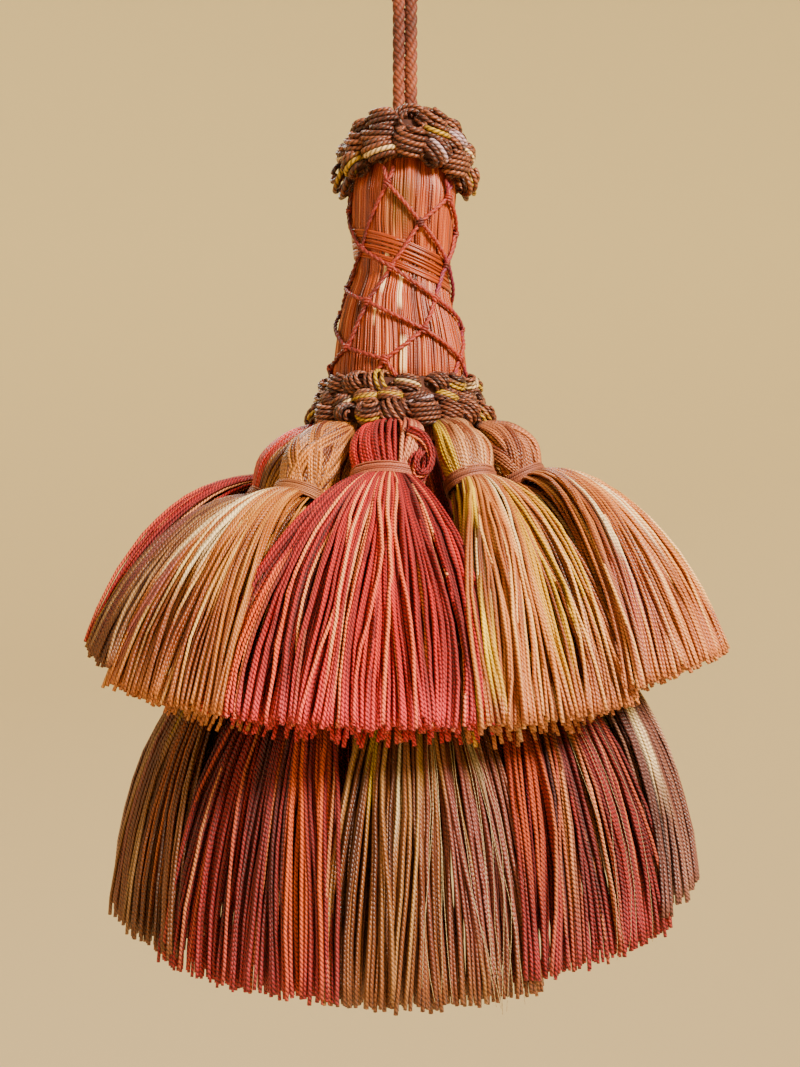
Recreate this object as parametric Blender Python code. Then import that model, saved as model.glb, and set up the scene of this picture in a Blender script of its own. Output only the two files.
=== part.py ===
"""A two-tier hanging tassel of pearl yarn, in metres, +Z up, front towards -Y.

The origin is the inside top of the hanging loop. A waisted neck wound with thread hangs from the
doubled cord between two knotted collars, under a red net. Ten small tassels hang around its foot,
and ten more on longer ties below them push the upper ones outwards.
"""
import math
import random

import bmesh
import bpy
from mathutils import Vector

MM = 0.001
GAP = 0.3 * MM  # between pieces that touch

# Hanging cord
CORD_RADIUS = 0.85 * MM
CORD_LOBE = 0.10  # of the radius, how far the three plies stand out
CORD_PLIES = 3
CORD_SIDES = 6
CORD_STEPS = 74
CORD_TURNS = 9.25
LEG_X = 1.05 * MM  # from the middle to the centre line of either leg
EYE_RADIUS = 3.5 * MM

# Neck: height below the loop, radius, and how far the axis leans to the side
NECK_SIDES = 28
NECK_RIB = 0.10 * MM
NECK_ROWS = (
    {"z": -27.6, "radius": 3.2, "lean": 0.2},
    {"z": -28.8, "radius": 5.2, "lean": 0.2},
    {"z": -32.5, "radius": 6.4, "lean": 0.1},
    {"z": -38.0, "radius": 7.6, "lean": -0.1},
    {"z": -43.5, "radius": 7.4, "lean": -0.4},
    {"z": -47.6, "radius": 7.0, "lean": -0.3},
    {"z": -51.0, "radius": 6.9, "lean": -0.6},
    {"z": -54.5, "radius": 7.8, "lean": -1.1},
    {"z": -57.8, "radius": 8.8, "lean": -1.0},
    {"z": -61.5, "radius": 9.5, "lean": -0.8},
    {"z": -65.3, "radius": 9.9, "lean": -0.8},
    {"z": -75.0, "radius": 9.3, "lean": -0.5},
)

# Net over the neck: the height of each row of knots, its turn round the neck in degrees, and how
# much higher it is on the right than in the middle
NET_AROUND = 5
NET_THREAD = 0.42 * MM  # half the width of a thread
NET_EDGE = 0.30 * MM
NET_RIDGE = 0.30 * MM
NET_CLEAR = 0.52 * MM  # so that the straight bits between points clear the round neck
NET_ROWS = (
    {"z": -37.9, "turn": 54, "tilt": 0.0},
    {"z": -44.3, "turn": 55, "tilt": 2.0},
    {"z": -49.9, "turn": 60, "tilt": 1.5},
    {"z": -54.9, "turn": 77, "tilt": 0.5},
    {"z": -60.3, "turn": 94, "tilt": 2.0},
    {"z": -63.9, "turn": 96, "tilt": 0.5},
)

# Knotted collars: radius and height of each corner of the section, and how much a knot lifts it
UPPER_KNOTS = 12
UPPER_DROOP = 2.8 * MM  # the collar hangs lower at its sides
UPPER_SECTION = (
    {"radius": 8.0, "z": -36.2, "lift": 0.0, "row": 0},
    {"radius": 8.9, "z": -36.9, "lift": 0.5, "row": 0},
    {"radius": 9.8, "z": -34.9, "lift": 0.9, "row": 0},
    {"radius": 8.8, "z": -32.4, "lift": 0.3, "row": 1},
    {"radius": 9.6, "z": -29.9, "lift": 0.9, "row": 1},
    {"radius": 7.6, "z": -27.2, "lift": 0.7, "row": 1},
    {"radius": 4.6, "z": -26.5, "lift": 0.0, "row": 0},
    {"radius": 5.6, "z": -28.3, "lift": 0.0, "row": 0},
)
LOWER_KNOTS = 20
LOWER_SECTION = (
    {"radius": 10.6, "z": -74.6, "lift": 0.0, "row": 0},
    {"radius": 12.4, "z": -74.5, "lift": 0.3, "row": 0},
    {"radius": 13.7, "z": -71.9, "lift": 0.8, "row": 0},
    {"radius": 11.5, "z": -69.6, "lift": 0.2, "row": 1},
    {"radius": 11.6, "z": -67.5, "lift": 0.7, "row": 1},
    {"radius": 10.7, "z": -65.8, "lift": 0.3, "row": 1},
)

# Small tassels: the rings of a head, in the upright plane through its middle. The radius is from
# the big tassel's axis, the tilt leans the ring outwards, and the halves are its half width round
# the big tassel and its half depth away from it.
LOCKS_ACROSS = 6
HEAD_RIB = 0.05
UPPER_RINGS = (
    {"radius": 13.4, "z": -75.4, "tilt": 48, "half_width": 1.6, "half_depth": 1.1},
    {"radius": 15.3, "z": -76.4, "tilt": 44, "half_width": 4.2, "half_depth": 3.4},
    {"radius": 17.2, "z": -78.4, "tilt": 36, "half_width": 4.8, "half_depth": 4.2},
    {"radius": 18.3, "z": -81.3, "tilt": 28, "half_width": 3.9, "half_depth": 3.1},
    {"radius": 19.1, "z": -83.2, "tilt": 32, "half_width": 4.6, "half_depth": 3.7},
)
LOWER_RINGS = (
    {"radius": 5.6, "z": -75.3, "tilt": 0, "half_width": 0.8, "half_depth": 0.8},
    {"radius": 11.6, "z": -88.5, "tilt": 20, "half_width": 1.0, "half_depth": 1.0},
    {"radius": 14.3, "z": -93.2, "tilt": 15, "half_width": 4.0, "half_depth": 3.6},
    {"radius": 15.9, "z": -98.0, "tilt": 12, "half_width": 4.7, "half_depth": 4.3},
    {"radius": 17.2, "z": -102.6, "tilt": 20, "half_width": 3.8, "half_depth": 3.1},
    {"radius": 18.1, "z": -104.6, "tilt": 28, "half_width": 4.5, "half_depth": 3.8},
)

# How the two layers of locks bend: shares of the way out and of the way down at two handles, the
# inner layer's tip as seen from the outer one's, and half a lock's thickness
UPPER_BENDS = (
    {"out_1": 0.36, "down_1": 0.06, "out_2": 0.80, "down_2": 0.48, "back": 0.0, "below": 0.0},
    {"out_1": 0.36, "down_1": 0.20, "out_2": 0.76, "down_2": 0.60, "back": 5.6, "below": 3.2},
)
LOWER_BENDS = (
    {"out_1": 0.42, "down_1": 0.04, "out_2": 0.90, "down_2": 0.40, "back": 0.0, "below": 0.0},
    {"out_1": 0.50, "down_1": 0.14, "out_2": 0.95, "down_2": 0.50, "back": 10.0, "below": 2.8},
)
OUTER_STEPS = (0.28, 0.62, 1.0)
INNER_STEPS = (0.45, 1.0)
LOCK_HALF_START = 1.1 * MM
LOCK_HALF_END = 2.1 * MM
LOCK_GAP = 0.055  # of a lock's share of the skirt, left free on each side
LOCK_UNEVEN = 0.9 * MM

# Where each tassel's head stands, the sector its strands fill at the rim, both in degrees from the
# front towards +X, and the radius and height of its outer tips
UPPER_TASSELS = (
    {"head": -8, "from": -32, "to": 13, "radius": 44.3, "z": -111.6, "yarn": "crimson"},
    {"head": 30, "from": 13, "to": 44, "radius": 44.9, "z": -111.6, "yarn": "brown"},
    {"head": 68, "from": 44, "to": 86, "radius": 46.4, "z": -106.8, "yarn": "brown"},
    {"head": 105, "from": 86, "to": 124, "radius": 45.8, "z": -107.8, "yarn": "mauve"},
    {"head": 142, "from": 124, "to": 160, "radius": 45.2, "z": -110.0, "yarn": "crimson"},
    {"head": 178, "from": 160, "to": 196, "radius": 45.0, "z": -110.6, "yarn": "brown"},
    {"head": 213, "from": 196, "to": 231, "radius": 45.2, "z": -109.0, "yarn": "tan"},
    {"head": 246, "from": 231, "to": 279, "radius": 46.1, "z": -106.0, "yarn": "crimson"},
    {"head": 281, "from": 279, "to": 299, "radius": 46.2, "z": -107.2, "yarn": "brown"},
    {"head": 313, "from": 299, "to": 328, "radius": 45.6, "z": -111.0, "yarn": "tan"},
)
LOWER_TASSELS = (
    {"head": 5, "from": -13, "to": 23, "radius": 41.0, "z": -146.4, "yarn": "brown"},
    {"head": 40, "from": 23, "to": 55, "radius": 41.6, "z": -142.6, "yarn": "crimson"},
    {"head": 75, "from": 55, "to": 93, "radius": 42.0, "z": -137.8, "yarn": "mauve"},
    {"head": 111, "from": 93, "to": 129, "radius": 42.0, "z": -140.4, "yarn": "brown"},
    {"head": 147, "from": 129, "to": 165, "radius": 41.8, "z": -141.4, "yarn": "crimson"},
    {"head": 183, "from": 165, "to": 201, "radius": 41.6, "z": -142.4, "yarn": "tan"},
    {"head": 219, "from": 201, "to": 237, "radius": 41.8, "z": -141.4, "yarn": "crimson"},
    {"head": 255, "from": 237, "to": 271, "radius": 42.0, "z": -141.0, "yarn": "mauve"},
    {"head": 291, "from": 271, "to": 312, "radius": 42.0, "z": -142.2, "yarn": "brown"},
    {"head": 328, "from": 312, "to": 347, "radius": 41.6, "z": -145.4, "yarn": "crimson"},
)
# Upper tassels whose head hangs further out or down than its ring table says, in mm, and how much
# fuller their strands arch before they fall, as a share of that fall
UPPER_OFFSETS = {
    0: {"out": 0.0, "down": 0.4, "puff": 0.0},
    1: {"out": 0.0, "down": 0.8, "puff": 0.04},
    2: {"out": 0.0, "down": 0.0, "puff": 0.14},
    3: {"out": 0.0, "down": 0.0, "puff": 0.10},
    6: {"out": 0.0, "down": 0.0, "puff": 0.08},
    7: {"out": 2.2, "down": 0.0, "puff": 0.10},
    8: {"out": 2.0, "down": 3.4, "puff": 0.08},
    9: {"out": 2.0, "down": 2.6, "puff": 0.05},
}
AS_TABLED = {"out": 0.0, "down": 0.0, "puff": 0.0}

# Bindings: a wound band round the pinch of each head
BINDING_SIDES = 12
BINDING_HALF_HEIGHT = 1.4 * MM
BINDING_THICKNESS = 0.8 * MM

YARNS = {
    "cord": (0.42, 0.20, 0.14),
    "neck": (0.55, 0.25, 0.16),
    "net": (0.55, 0.08, 0.11),
    "collar": (0.32, 0.15, 0.09),
    "crimson": (0.52, 0.05, 0.07),
    "brown": (0.42, 0.22, 0.12),
    "tan": (0.52, 0.33, 0.20),
    "mauve": (0.33, 0.20, 0.20),
}


def clear_scene():
    for obj in list(bpy.data.objects):
        bpy.data.objects.remove(obj, do_unlink=True)


def yarn_material(name):
    mat = bpy.data.materials.get(name)
    if mat is None:
        mat = bpy.data.materials.new(name)
        mat.use_nodes = True
        shader = mat.node_tree.nodes["Principled BSDF"]
        shader.inputs["Base Color"].default_value = (*YARNS[name], 1.0)
        shader.inputs["Roughness"].default_value = 0.75
        shader.inputs["Metallic"].default_value = 0.0
    return mat


def add_body(name, bm, yarn):
    """Turns a closed bmesh into a named object with its yarn's colour."""
    bmesh.ops.triangulate(bm, faces=bm.faces[:])
    bmesh.ops.recalc_face_normals(bm, faces=bm.faces[:])
    mesh = bpy.data.meshes.new(name)
    bm.to_mesh(mesh)
    bm.free()
    mesh.shade_smooth()
    mesh.set_sharp_from_angle(angle=math.radians(50))
    mesh.materials.append(yarn_material(yarn))
    obj = bpy.data.objects.new(name, mesh)
    bpy.context.collection.objects.link(obj)
    return obj


def polar(azimuth, radius, z, lean=0.0):
    """A point at an azimuth in radians from the front (-Y) towards +X."""
    return Vector((radius * math.sin(azimuth) + lean, -radius * math.cos(azimuth), z))


def add_ring(bm, points):
    return [bm.verts.new(point) for point in points]


def join_rings(bm, first, second):
    count = len(first)
    for i in range(count):
        j = (i + 1) % count
        bm.faces.new((first[i], first[j], second[j], second[i]))


def bezier(start, handle_1, handle_2, end, t):
    s = 1 - t
    return s ** 3 * start + 3 * s * s * t * handle_1 + 3 * s * t * t * handle_2 + t ** 3 * end


def cord_point(share):
    """The route of the hanging cord: up the left leg, round the eye and down the right leg."""
    foot = Vector((-LEG_X, 0, -27.2 * MM))
    crotch = Vector((-LEG_X, 0, -10.0 * MM))
    side = Vector((-EYE_RADIUS, 0, -EYE_RADIUS + CORD_RADIUS))
    leg = (crotch - foot).length
    flank = (side - crotch).length * 1.02
    arch = math.pi / 2 * EYE_RADIUS
    total = 2 * (leg + flank + arch)
    way = min(share, 1 - share) * total
    if way <= leg:
        point = foot.lerp(crotch, way / leg)
    elif way <= leg + flank:
        t = (way - leg) / flank
        point = bezier(crotch, crotch + Vector((0, 0, 2.6 * MM)),
                       side - Vector((0, 0, 2.6 * MM)), side, t)
    else:
        turn = min((way - leg - flank) / EYE_RADIUS, math.pi / 2)
        point = Vector((-EYE_RADIUS * math.cos(turn), 0,
                        side.z + EYE_RADIUS * math.sin(turn)))
    if share > 0.5:
        point.x = -point.x
    return point


def make_cord():
    bm = bmesh.new()
    rings = []
    for step in range(CORD_STEPS + 1):
        share = step / CORD_STEPS
        centre = cord_point(share)
        along = cord_point(min(share + 0.002, 1)) - cord_point(max(share - 0.002, 0))
        along.normalize()
        across = Vector((0, 1, 0)).cross(along).normalized()
        twist = 2 * math.pi * CORD_TURNS * share
        points = []
        for side in range(CORD_SIDES):
            angle = 2 * math.pi * side / CORD_SIDES
            radius = CORD_RADIUS * (1 + CORD_LOBE * math.cos(CORD_PLIES * angle))
            turned = angle + twist
            points.append(centre + radius * (math.cos(turned) * across
                                             + math.sin(turned) * Vector((0, 1, 0))))
        rings.append(add_ring(bm, points))
    for first, second in zip(rings, rings[1:]):
        join_rings(bm, first, second)
    bm.faces.new(rings[0])
    bm.faces.new(rings[-1])
    return add_body("hanging_cord", bm, "cord")


def neck_at(z):
    """Radius and lean of the neck at a height in metres, between the rows of its table."""
    rows = NECK_ROWS
    for above, below in zip(rows, rows[1:]):
        if below["z"] * MM <= z:
            t = (above["z"] - z / MM) / (above["z"] - below["z"])
            radius = above["radius"] + t * (below["radius"] - above["radius"])
            lean = above["lean"] + t * (below["lean"] - above["lean"])
            return radius * MM, lean * MM
    return rows[-1]["radius"] * MM, rows[-1]["lean"] * MM


def make_neck():
    bm = bmesh.new()
    rings = []
    for row in NECK_ROWS:
        points = []
        for side in range(NECK_SIDES):
            rib = NECK_RIB if side % 2 else -NECK_RIB
            azimuth = 2 * math.pi * side / NECK_SIDES
            points.append(polar(azimuth, row["radius"] * MM + rib, row["z"] * MM, row["lean"] * MM))
        rings.append(add_ring(bm, points))
    for first, second in zip(rings, rings[1:]):
        join_rings(bm, first, second)
    bm.faces.new(rings[0])
    bm.faces.new(rings[-1])
    return add_body("neck", bm, "neck")


def net_knot(column, row):
    """Azimuth and height of a knot. Columns count half diamonds, and rows run downwards."""
    line = NET_ROWS[row]
    azimuth = math.radians(line["turn"]) + math.pi * column / NET_AROUND
    droop = UPPER_DROOP * math.sin(azimuth) ** 2 * (1 - row / (len(NET_ROWS) - 1)) ** 2
    return azimuth, line["z"] * MM + line["tilt"] * MM * math.sin(azimuth) - droop


def net_point(column, row, lift, shift=0.0):
    """A point over the neck, at a knot or halfway down the thread between two."""
    if row == int(row):
        azimuth, z = net_knot(column, int(row))
    else:
        upper = int(row)
        falls_right = math.floor(column) % 2 == upper % 2
        first = math.floor(column) + (0 if falls_right else 1)
        second = math.floor(column) + (1 if falls_right else 0)
        ends = net_knot(first, upper), net_knot(second, upper + 1)
        azimuth = (ends[0][0] + ends[1][0]) / 2
        z = (ends[0][1] + ends[1][1]) / 2
    z += shift
    radius, lean = neck_at(z)
    return polar(azimuth, radius + NET_CLEAR + lift, z, lean)


def over_neck(point, lift):
    """A point moved straight in or out, to lie over the neck."""
    radius, lean = neck_at(point.z)
    azimuth = math.atan2(point.x - lean, -point.y)
    return polar(azimuth, radius + NET_CLEAR + lift, point.z, lean)


def make_net():
    """Diamonds of ridged thread: each thread's middle line is raised between its two edges."""
    bm = bmesh.new()
    last = len(NET_ROWS) - 1
    columns = 2 * NET_AROUND
    threads = {}
    for row in range(last + 1):
        for column in range(row % 2, columns, 2):
            threads[column, row] = bm.verts.new(net_point(column, row, NET_EDGE + NET_RIDGE))
    for row in range(last):
        for column in range(columns):
            half = (column + 0.5, row + 0.5)
            threads[half] = bm.verts.new(net_point(*half, NET_EDGE + NET_RIDGE))

    for row in range(1, last):
        for column in range((row + 1) % 2, columns, 2):
            around = ((0, -1), (-0.5, -0.5), (-1, 0), (-0.5, 0.5),
                      (0, 1), (0.5, 0.5), (1, 0), (0.5, -0.5))
            heart = (net_point(column - 1, row, NET_EDGE) + net_point(column + 1, row, NET_EDGE)) / 2
            outer = []
            inner = []
            for right, down in around:
                spot = (column + right, row + down)
                outer.append(threads[spot[0] % columns, spot[1]])
                point = net_point(*spot, NET_EDGE)
                pull = NET_THREAD * (1.8 if spot[1] == int(spot[1]) else 1.0)
                point += (heart - point).normalized() * pull
                inner.append(bm.verts.new(over_neck(point, NET_EDGE)))
            join_rings(bm, outer, inner)

    # The half threads of the first and last zigzag get their outer edges
    for row, inside, shift in ((0, 1, NET_THREAD), (last, last - 1, -NET_THREAD)):
        zigzag = []
        border = []
        for column in range(columns):
            at = row if column % 2 == row % 2 else inside
            half = (column + 0.5, (row + inside) / 2)
            zigzag.extend((threads[column, at], threads[half]))
            border.append(bm.verts.new(net_point(column, at, NET_EDGE, shift)))
            border.append(bm.verts.new(net_point(*half, NET_EDGE, shift)))
        join_rings(bm, zigzag, border)

    bmesh.ops.recalc_face_normals(bm, faces=bm.faces[:])
    inner_side = bmesh.ops.extrude_face_region(bm, geom=bm.faces[:])
    for vertex in inner_side["geom"]:
        if isinstance(vertex, bmesh.types.BMVert):
            vertex.co = over_neck(vertex.co, 0)
    return add_body("neck_net", bm, "net")


def make_collar(name, knots, section, droop):
    """A knotted ring: every row of knots swells outwards, the rows half a knot apart."""
    bm = bmesh.new()
    steps = 4 * knots
    rings = []
    for step in range(steps):
        azimuth = 2 * math.pi * step / steps
        points = []
        for corner in section:
            phase = knots * azimuth + math.pi * corner["row"]
            swell = corner["lift"] * MM * (2 * abs(math.cos(phase / 2)) - 1)
            radius = corner["radius"] * MM + swell
            z = corner["z"] * MM - droop * math.sin(azimuth) ** 2 * (corner["radius"] / 10) ** 2
            lean = neck_at(corner["z"] * MM)[1]
            points.append(polar(azimuth, radius, z, lean))
        rings.append(add_ring(bm, points))
    for first, second in zip(rings, rings[1:] + rings[:1]):
        join_rings(bm, first, second)
    return add_body(name, bm, "collar")


def grid_corner(u, v):
    """Maps a square's point (-1 to 1) to the unit disc."""
    return u * math.sqrt(1 - v * v / 2), v * math.sqrt(1 - u * u / 2)


def rim_of_grid():
    """The border of the lock grid, counter-clockwise, as points of the unit disc."""
    cells = []
    for i in range(LOCKS_ACROSS):
        cells.append((-1 + 2 * i / LOCKS_ACROSS, -1))
    cells.append((1, -1))
    cells.append((1, 0))
    for i in range(LOCKS_ACROSS):
        cells.append((1 - 2 * i / LOCKS_ACROSS, 1))
    cells.append((-1, 1))
    cells.append((-1, 0))
    return [grid_corner(u, v) for u, v in cells]


def head_point(row, azimuth, u, v, rib):
    """A point of a head's ring. u runs round the big tassel, v away from its axis."""
    tilt = math.radians(row["tilt"])
    wide = row["half_width"] * MM * u * (1 + rib)
    deep = row["half_depth"] * MM * v * (1 + rib)
    radius = row["radius"] * MM + deep * math.cos(tilt)
    z = row["z"] * MM + deep * math.sin(tilt)
    outwards = Vector((math.sin(azimuth), -math.cos(azimuth), 0))
    around = Vector((math.cos(azimuth), math.sin(azimuth), 0))
    return outwards * radius + around * wide + Vector((0, 0, z))


def hang_rings(tassel, rings):
    """A head's rings, moved out and down by what the table says, and least where it is fixed."""
    hung = []
    for i, row in enumerate(rings):
        share = min(1.0, i / (len(rings) - 2))
        radius = row["radius"] + share * tassel["out"]
        hung.append(dict(row, radius=radius, z=row["z"] - share * tassel["down"]))
    return hung


def make_tassel(name, tassel, rings, bends, chance):
    """A looped head whose lower end parts into two layers of locks, fused only at their roots."""
    bm = bmesh.new()
    azimuth = math.radians(tassel["head"])
    border = rim_of_grid()
    loops = []
    for row in rings:
        points = []
        for i, (u, v) in enumerate(border):
            rib = HEAD_RIB if i % 2 else -HEAD_RIB
            if row is rings[-1]:
                rib = 0.0
            points.append(head_point(row, azimuth, u, v, rib))
        loops.append(add_ring(bm, points))
    for first, second in zip(loops, loops[1:]):
        join_rings(bm, first, second)
    bm.faces.new(loops[0])

    lip = rings[-1]
    last = loops[-1]
    across = LOCKS_ACROSS
    lower_row = last[:across + 1]
    upper_row = [last[2 * across + 2 - i] for i in range(across + 1)]
    middle_row = [last[2 * across + 3]]
    for i in range(1, across):
        u, v = grid_corner(-1 + 2 * i / across, 0)
        middle_row.append(bm.verts.new(head_point(lip, azimuth, u, v, 0.0)))
    middle_row.append(last[across + 1])

    start_half = math.asin(lip["half_width"] / lip["radius"])
    start_low = azimuth - start_half
    start_high = azimuth + start_half
    layers = ((upper_row, middle_row, bends[0], 0.5, OUTER_STEPS),
              (middle_row, lower_row, bends[1], -0.5, INNER_STEPS))
    for outer_row, inner_row, bend, v, steps in layers:
        middle = head_point(lip, 0.0, 0.0, v, 0.0)
        root_radius, root_z = -middle.y, middle.z
        tip_radius = (tassel["radius"] - bend["back"]) * MM
        tip_z = (tassel["z"] - bend["below"]) * MM
        for i in range(across):
            longer = chance.uniform(-1, 1) * LOCK_UNEVEN
            reach = tip_radius - root_radius
            fall = tip_z - longer - root_z
            first_down = bend["down_1"] - tassel["puff"]
            second_down = bend["down_2"] - 0.6 * tassel["puff"]
            route = [Vector((root_radius, root_z)),
                     Vector((root_radius + bend["out_1"] * reach, root_z + first_down * fall)),
                     Vector((root_radius + bend["out_2"] * reach, root_z + second_down * fall)),
                     Vector((tip_radius, tip_z - longer))]
            previous = [outer_row[i], outer_row[i + 1], inner_row[i + 1], inner_row[i]]
            for t in steps:
                spot = bezier(*route, t)
                along = (bezier(*route, min(t + 0.01, 1)) - bezier(*route, t - 0.01)).normalized()
                normal = Vector((-along.y, along.x))
                half = LOCK_HALF_START + (LOCK_HALF_END - LOCK_HALF_START) * min(1, 1.5 * t)
                spread = min(1.0, 1.7 * t)
                low = start_low + spread * (math.radians(tassel["from"]) - start_low)
                high = start_high + spread * (math.radians(tassel["to"]) - start_high)
                share_low = (i + LOCK_GAP) / across
                share_high = (i + 1 - LOCK_GAP) / across
                from_angle = low + (high - low) * share_low
                to_angle = low + (high - low) * share_high
                outer = spot + normal * half
                inner = spot - normal * half
                ring = add_ring(bm, (polar(from_angle, outer.x, outer.y),
                                     polar(to_angle, outer.x, outer.y),
                                     polar(to_angle, inner.x, inner.y),
                                     polar(from_angle, inner.x, inner.y)))
                join_rings(bm, previous, ring)
                previous = ring
            bm.faces.new(previous)
    return add_body(name, bm, tassel["yarn"])


def make_binding(name, tassel, pinch):
    """A wound band round a head's pinch, in the ring's own plane."""
    bm = bmesh.new()
    azimuth = math.radians(tassel["head"])
    tilt = math.radians(pinch["tilt"])
    outwards = Vector((math.sin(azimuth), -math.cos(azimuth), 0))
    around = Vector((math.cos(azimuth), math.sin(azimuth), 0))
    deep = outwards * math.cos(tilt) + Vector((0, 0, math.sin(tilt)))
    along = outwards * math.sin(-tilt) + Vector((0, 0, math.cos(tilt)))
    centre = outwards * pinch["radius"] * MM + Vector((0, 0, pinch["z"] * MM))
    clear = (1 + HEAD_RIB) / math.cos(math.pi / BINDING_SIDES)
    section = ((0.35, 0.75), (0.35, -0.75), (1.0, -0.55), (1.0, 0.55))
    rings = []
    for out, up in section:
        points = []
        for side in range(BINDING_SIDES):
            angle = 2 * math.pi * side / BINDING_SIDES
            thick = GAP + (out - 0.35) / 0.65 * BINDING_THICKNESS
            flare = 0.16 * MM * (abs(up) > 0.6)
            wide = (pinch["half_width"] * MM * clear + thick + flare) * math.cos(angle)
            far = (pinch["half_depth"] * MM * clear + thick + flare) * math.sin(angle)
            points.append(centre + around * wide + deep * far + along * up * BINDING_HALF_HEIGHT)
        rings.append(add_ring(bm, points))
    for first, second in zip(rings, rings[1:] + rings[:1]):
        join_rings(bm, first, second)
    return add_body(name, bm, tassel["yarn"])


def make_tier(tier, tassels, offsets, rings, bends, chance):
    for number, row in enumerate(tassels):
        tassel = dict(row, **offsets.get(number, AS_TABLED))
        hung = hang_rings(tassel, rings)
        make_tassel(f"{tier}_tassel_{number}", tassel, hung, bends, chance)
        make_binding(f"{tier}_binding_{number}", tassel, hung[-2])


clear_scene()
make_cord()
make_neck()
make_net()
make_collar("upper_collar", UPPER_KNOTS, UPPER_SECTION, UPPER_DROOP)
make_collar("lower_collar", LOWER_KNOTS, LOWER_SECTION, 0.0)
chance = random.Random(11)
make_tier("upper", UPPER_TASSELS, UPPER_OFFSETS, UPPER_RINGS, UPPER_BENDS, chance)
make_tier("lower", LOWER_TASSELS, {}, LOWER_RINGS, LOWER_BENDS, chance)
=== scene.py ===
"""The looks of a two-tier hanging tassel: every strand, winding, knot and net thread as laid yarn."""
import math

import bmesh
import bpy
import numpy as np
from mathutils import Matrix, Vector


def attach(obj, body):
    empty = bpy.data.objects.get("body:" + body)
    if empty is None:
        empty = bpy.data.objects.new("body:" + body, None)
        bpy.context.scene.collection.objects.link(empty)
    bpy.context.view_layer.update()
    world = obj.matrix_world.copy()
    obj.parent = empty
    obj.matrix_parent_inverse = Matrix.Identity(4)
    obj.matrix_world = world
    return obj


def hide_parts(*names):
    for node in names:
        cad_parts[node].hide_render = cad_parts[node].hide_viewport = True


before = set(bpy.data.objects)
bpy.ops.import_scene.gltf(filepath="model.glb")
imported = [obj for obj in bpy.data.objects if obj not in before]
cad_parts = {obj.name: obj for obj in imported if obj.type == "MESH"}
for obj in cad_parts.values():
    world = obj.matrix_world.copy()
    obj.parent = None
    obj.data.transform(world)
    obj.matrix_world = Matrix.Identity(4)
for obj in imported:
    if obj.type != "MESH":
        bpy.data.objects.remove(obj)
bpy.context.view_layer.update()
MM = 0.001


def rows_of(columns, rows):
    """A table's rows as dicts with the names of its columns."""
    return tuple(dict(zip(columns.split(), row)) for row in rows)


# Camera, backdrop and light
# A level view close to the tassel, in front of a plain pale bowl that is the same from every side, with
# painted shade toward its floor.
# One large warm lamp stands to the right, a weak one to the left and one behind.
PHOTO_SIZE = (800, 1067)
TASSEL_PIXEL = (405, 60)  # the axis across, and how far above the photo's top edge the loop hangs
MM_PER_PIXEL = 0.15  # at the tassel's axis
CAMERA_BACK = 230 * MM

camera_data = bpy.data.cameras.new("camera")
camera_data.sensor_width = 36
camera_data.lens = 36 * CAMERA_BACK / (PHOTO_SIZE[1] * MM_PER_PIXEL * MM)
camera = bpy.data.objects.new("camera", camera_data)
camera.location = ((PHOTO_SIZE[0] / 2 - TASSEL_PIXEL[0]) * MM_PER_PIXEL * MM, -CAMERA_BACK,
                   -(PHOTO_SIZE[1] / 2 + TASSEL_PIXEL[1]) * MM_PER_PIXEL * MM)
camera.rotation_euler = (math.radians(90), 0, 0)
bpy.context.collection.objects.link(camera)
bpy.context.scene.camera = camera

FLOOR_Z = -0.55
BOWL_RADIUS = 1.6
BOWL_CORNER = 0.7
BOWL_CORNER_STEPS = 12
BOWL_TOP = 1.3
BOWL_SHADE_TONES = ((222, 203, 158), (241, 226, 172))  # painted shade: the darker tone at the floor, and the pale tone above the shade's top height
BOWL_SHADE_TOP_Z = 0.25
MERGE_WITHIN = 1e-5


def turned_shape(profile, steps, closed=False):
    """A profile of radius and height in m, turned once round the upright axis."""
    shape = bmesh.new()
    corners = [shape.verts.new((radius, 0, height)) for radius, height in profile]
    edges = [shape.edges.new(pair) for pair in zip(corners, corners[1:] + corners[:1] * closed)]
    bmesh.ops.spin(shape, geom=corners + edges, cent=(0, 0, 0), axis=(0, 0, 1),
                   angle=math.radians(360), steps=steps, use_merge=True)
    bmesh.ops.remove_doubles(shape, verts=shape.verts[:], dist=MERGE_WITHIN)
    return shape


def smooth_piece(name, shape, material, inwards=False):
    """The object of a turned shape, with its faces outwards or all inwards."""
    bmesh.ops.recalc_face_normals(shape, faces=shape.faces[:])
    if inwards:
        bmesh.ops.reverse_faces(shape, faces=shape.faces[:])
    mesh = bpy.data.meshes.new(name)
    shape.to_mesh(mesh)
    shape.free()
    mesh.shade_smooth()
    mesh.materials.append(material)
    piece = bpy.data.objects.new(name, mesh)
    bpy.context.collection.objects.link(piece)
    return piece


def linear(red, green, blue):
    """A colour of 0 to 255 turned into the linear one that a shader takes."""
    return np.array([((part / 255 + 0.055) / 1.055) ** 2.4 for part in (red, green, blue)])


def dye(red, green, blue):
    """A yarn's linear colour, deeper than it looks because its sheen and the light wash it out."""
    plain = linear(red, green, blue)
    grey = plain @ np.array([0.3, 0.6, 0.1])
    return np.clip(grey + (plain - grey) * 1.22, 0.001, 1) * 0.94


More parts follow.
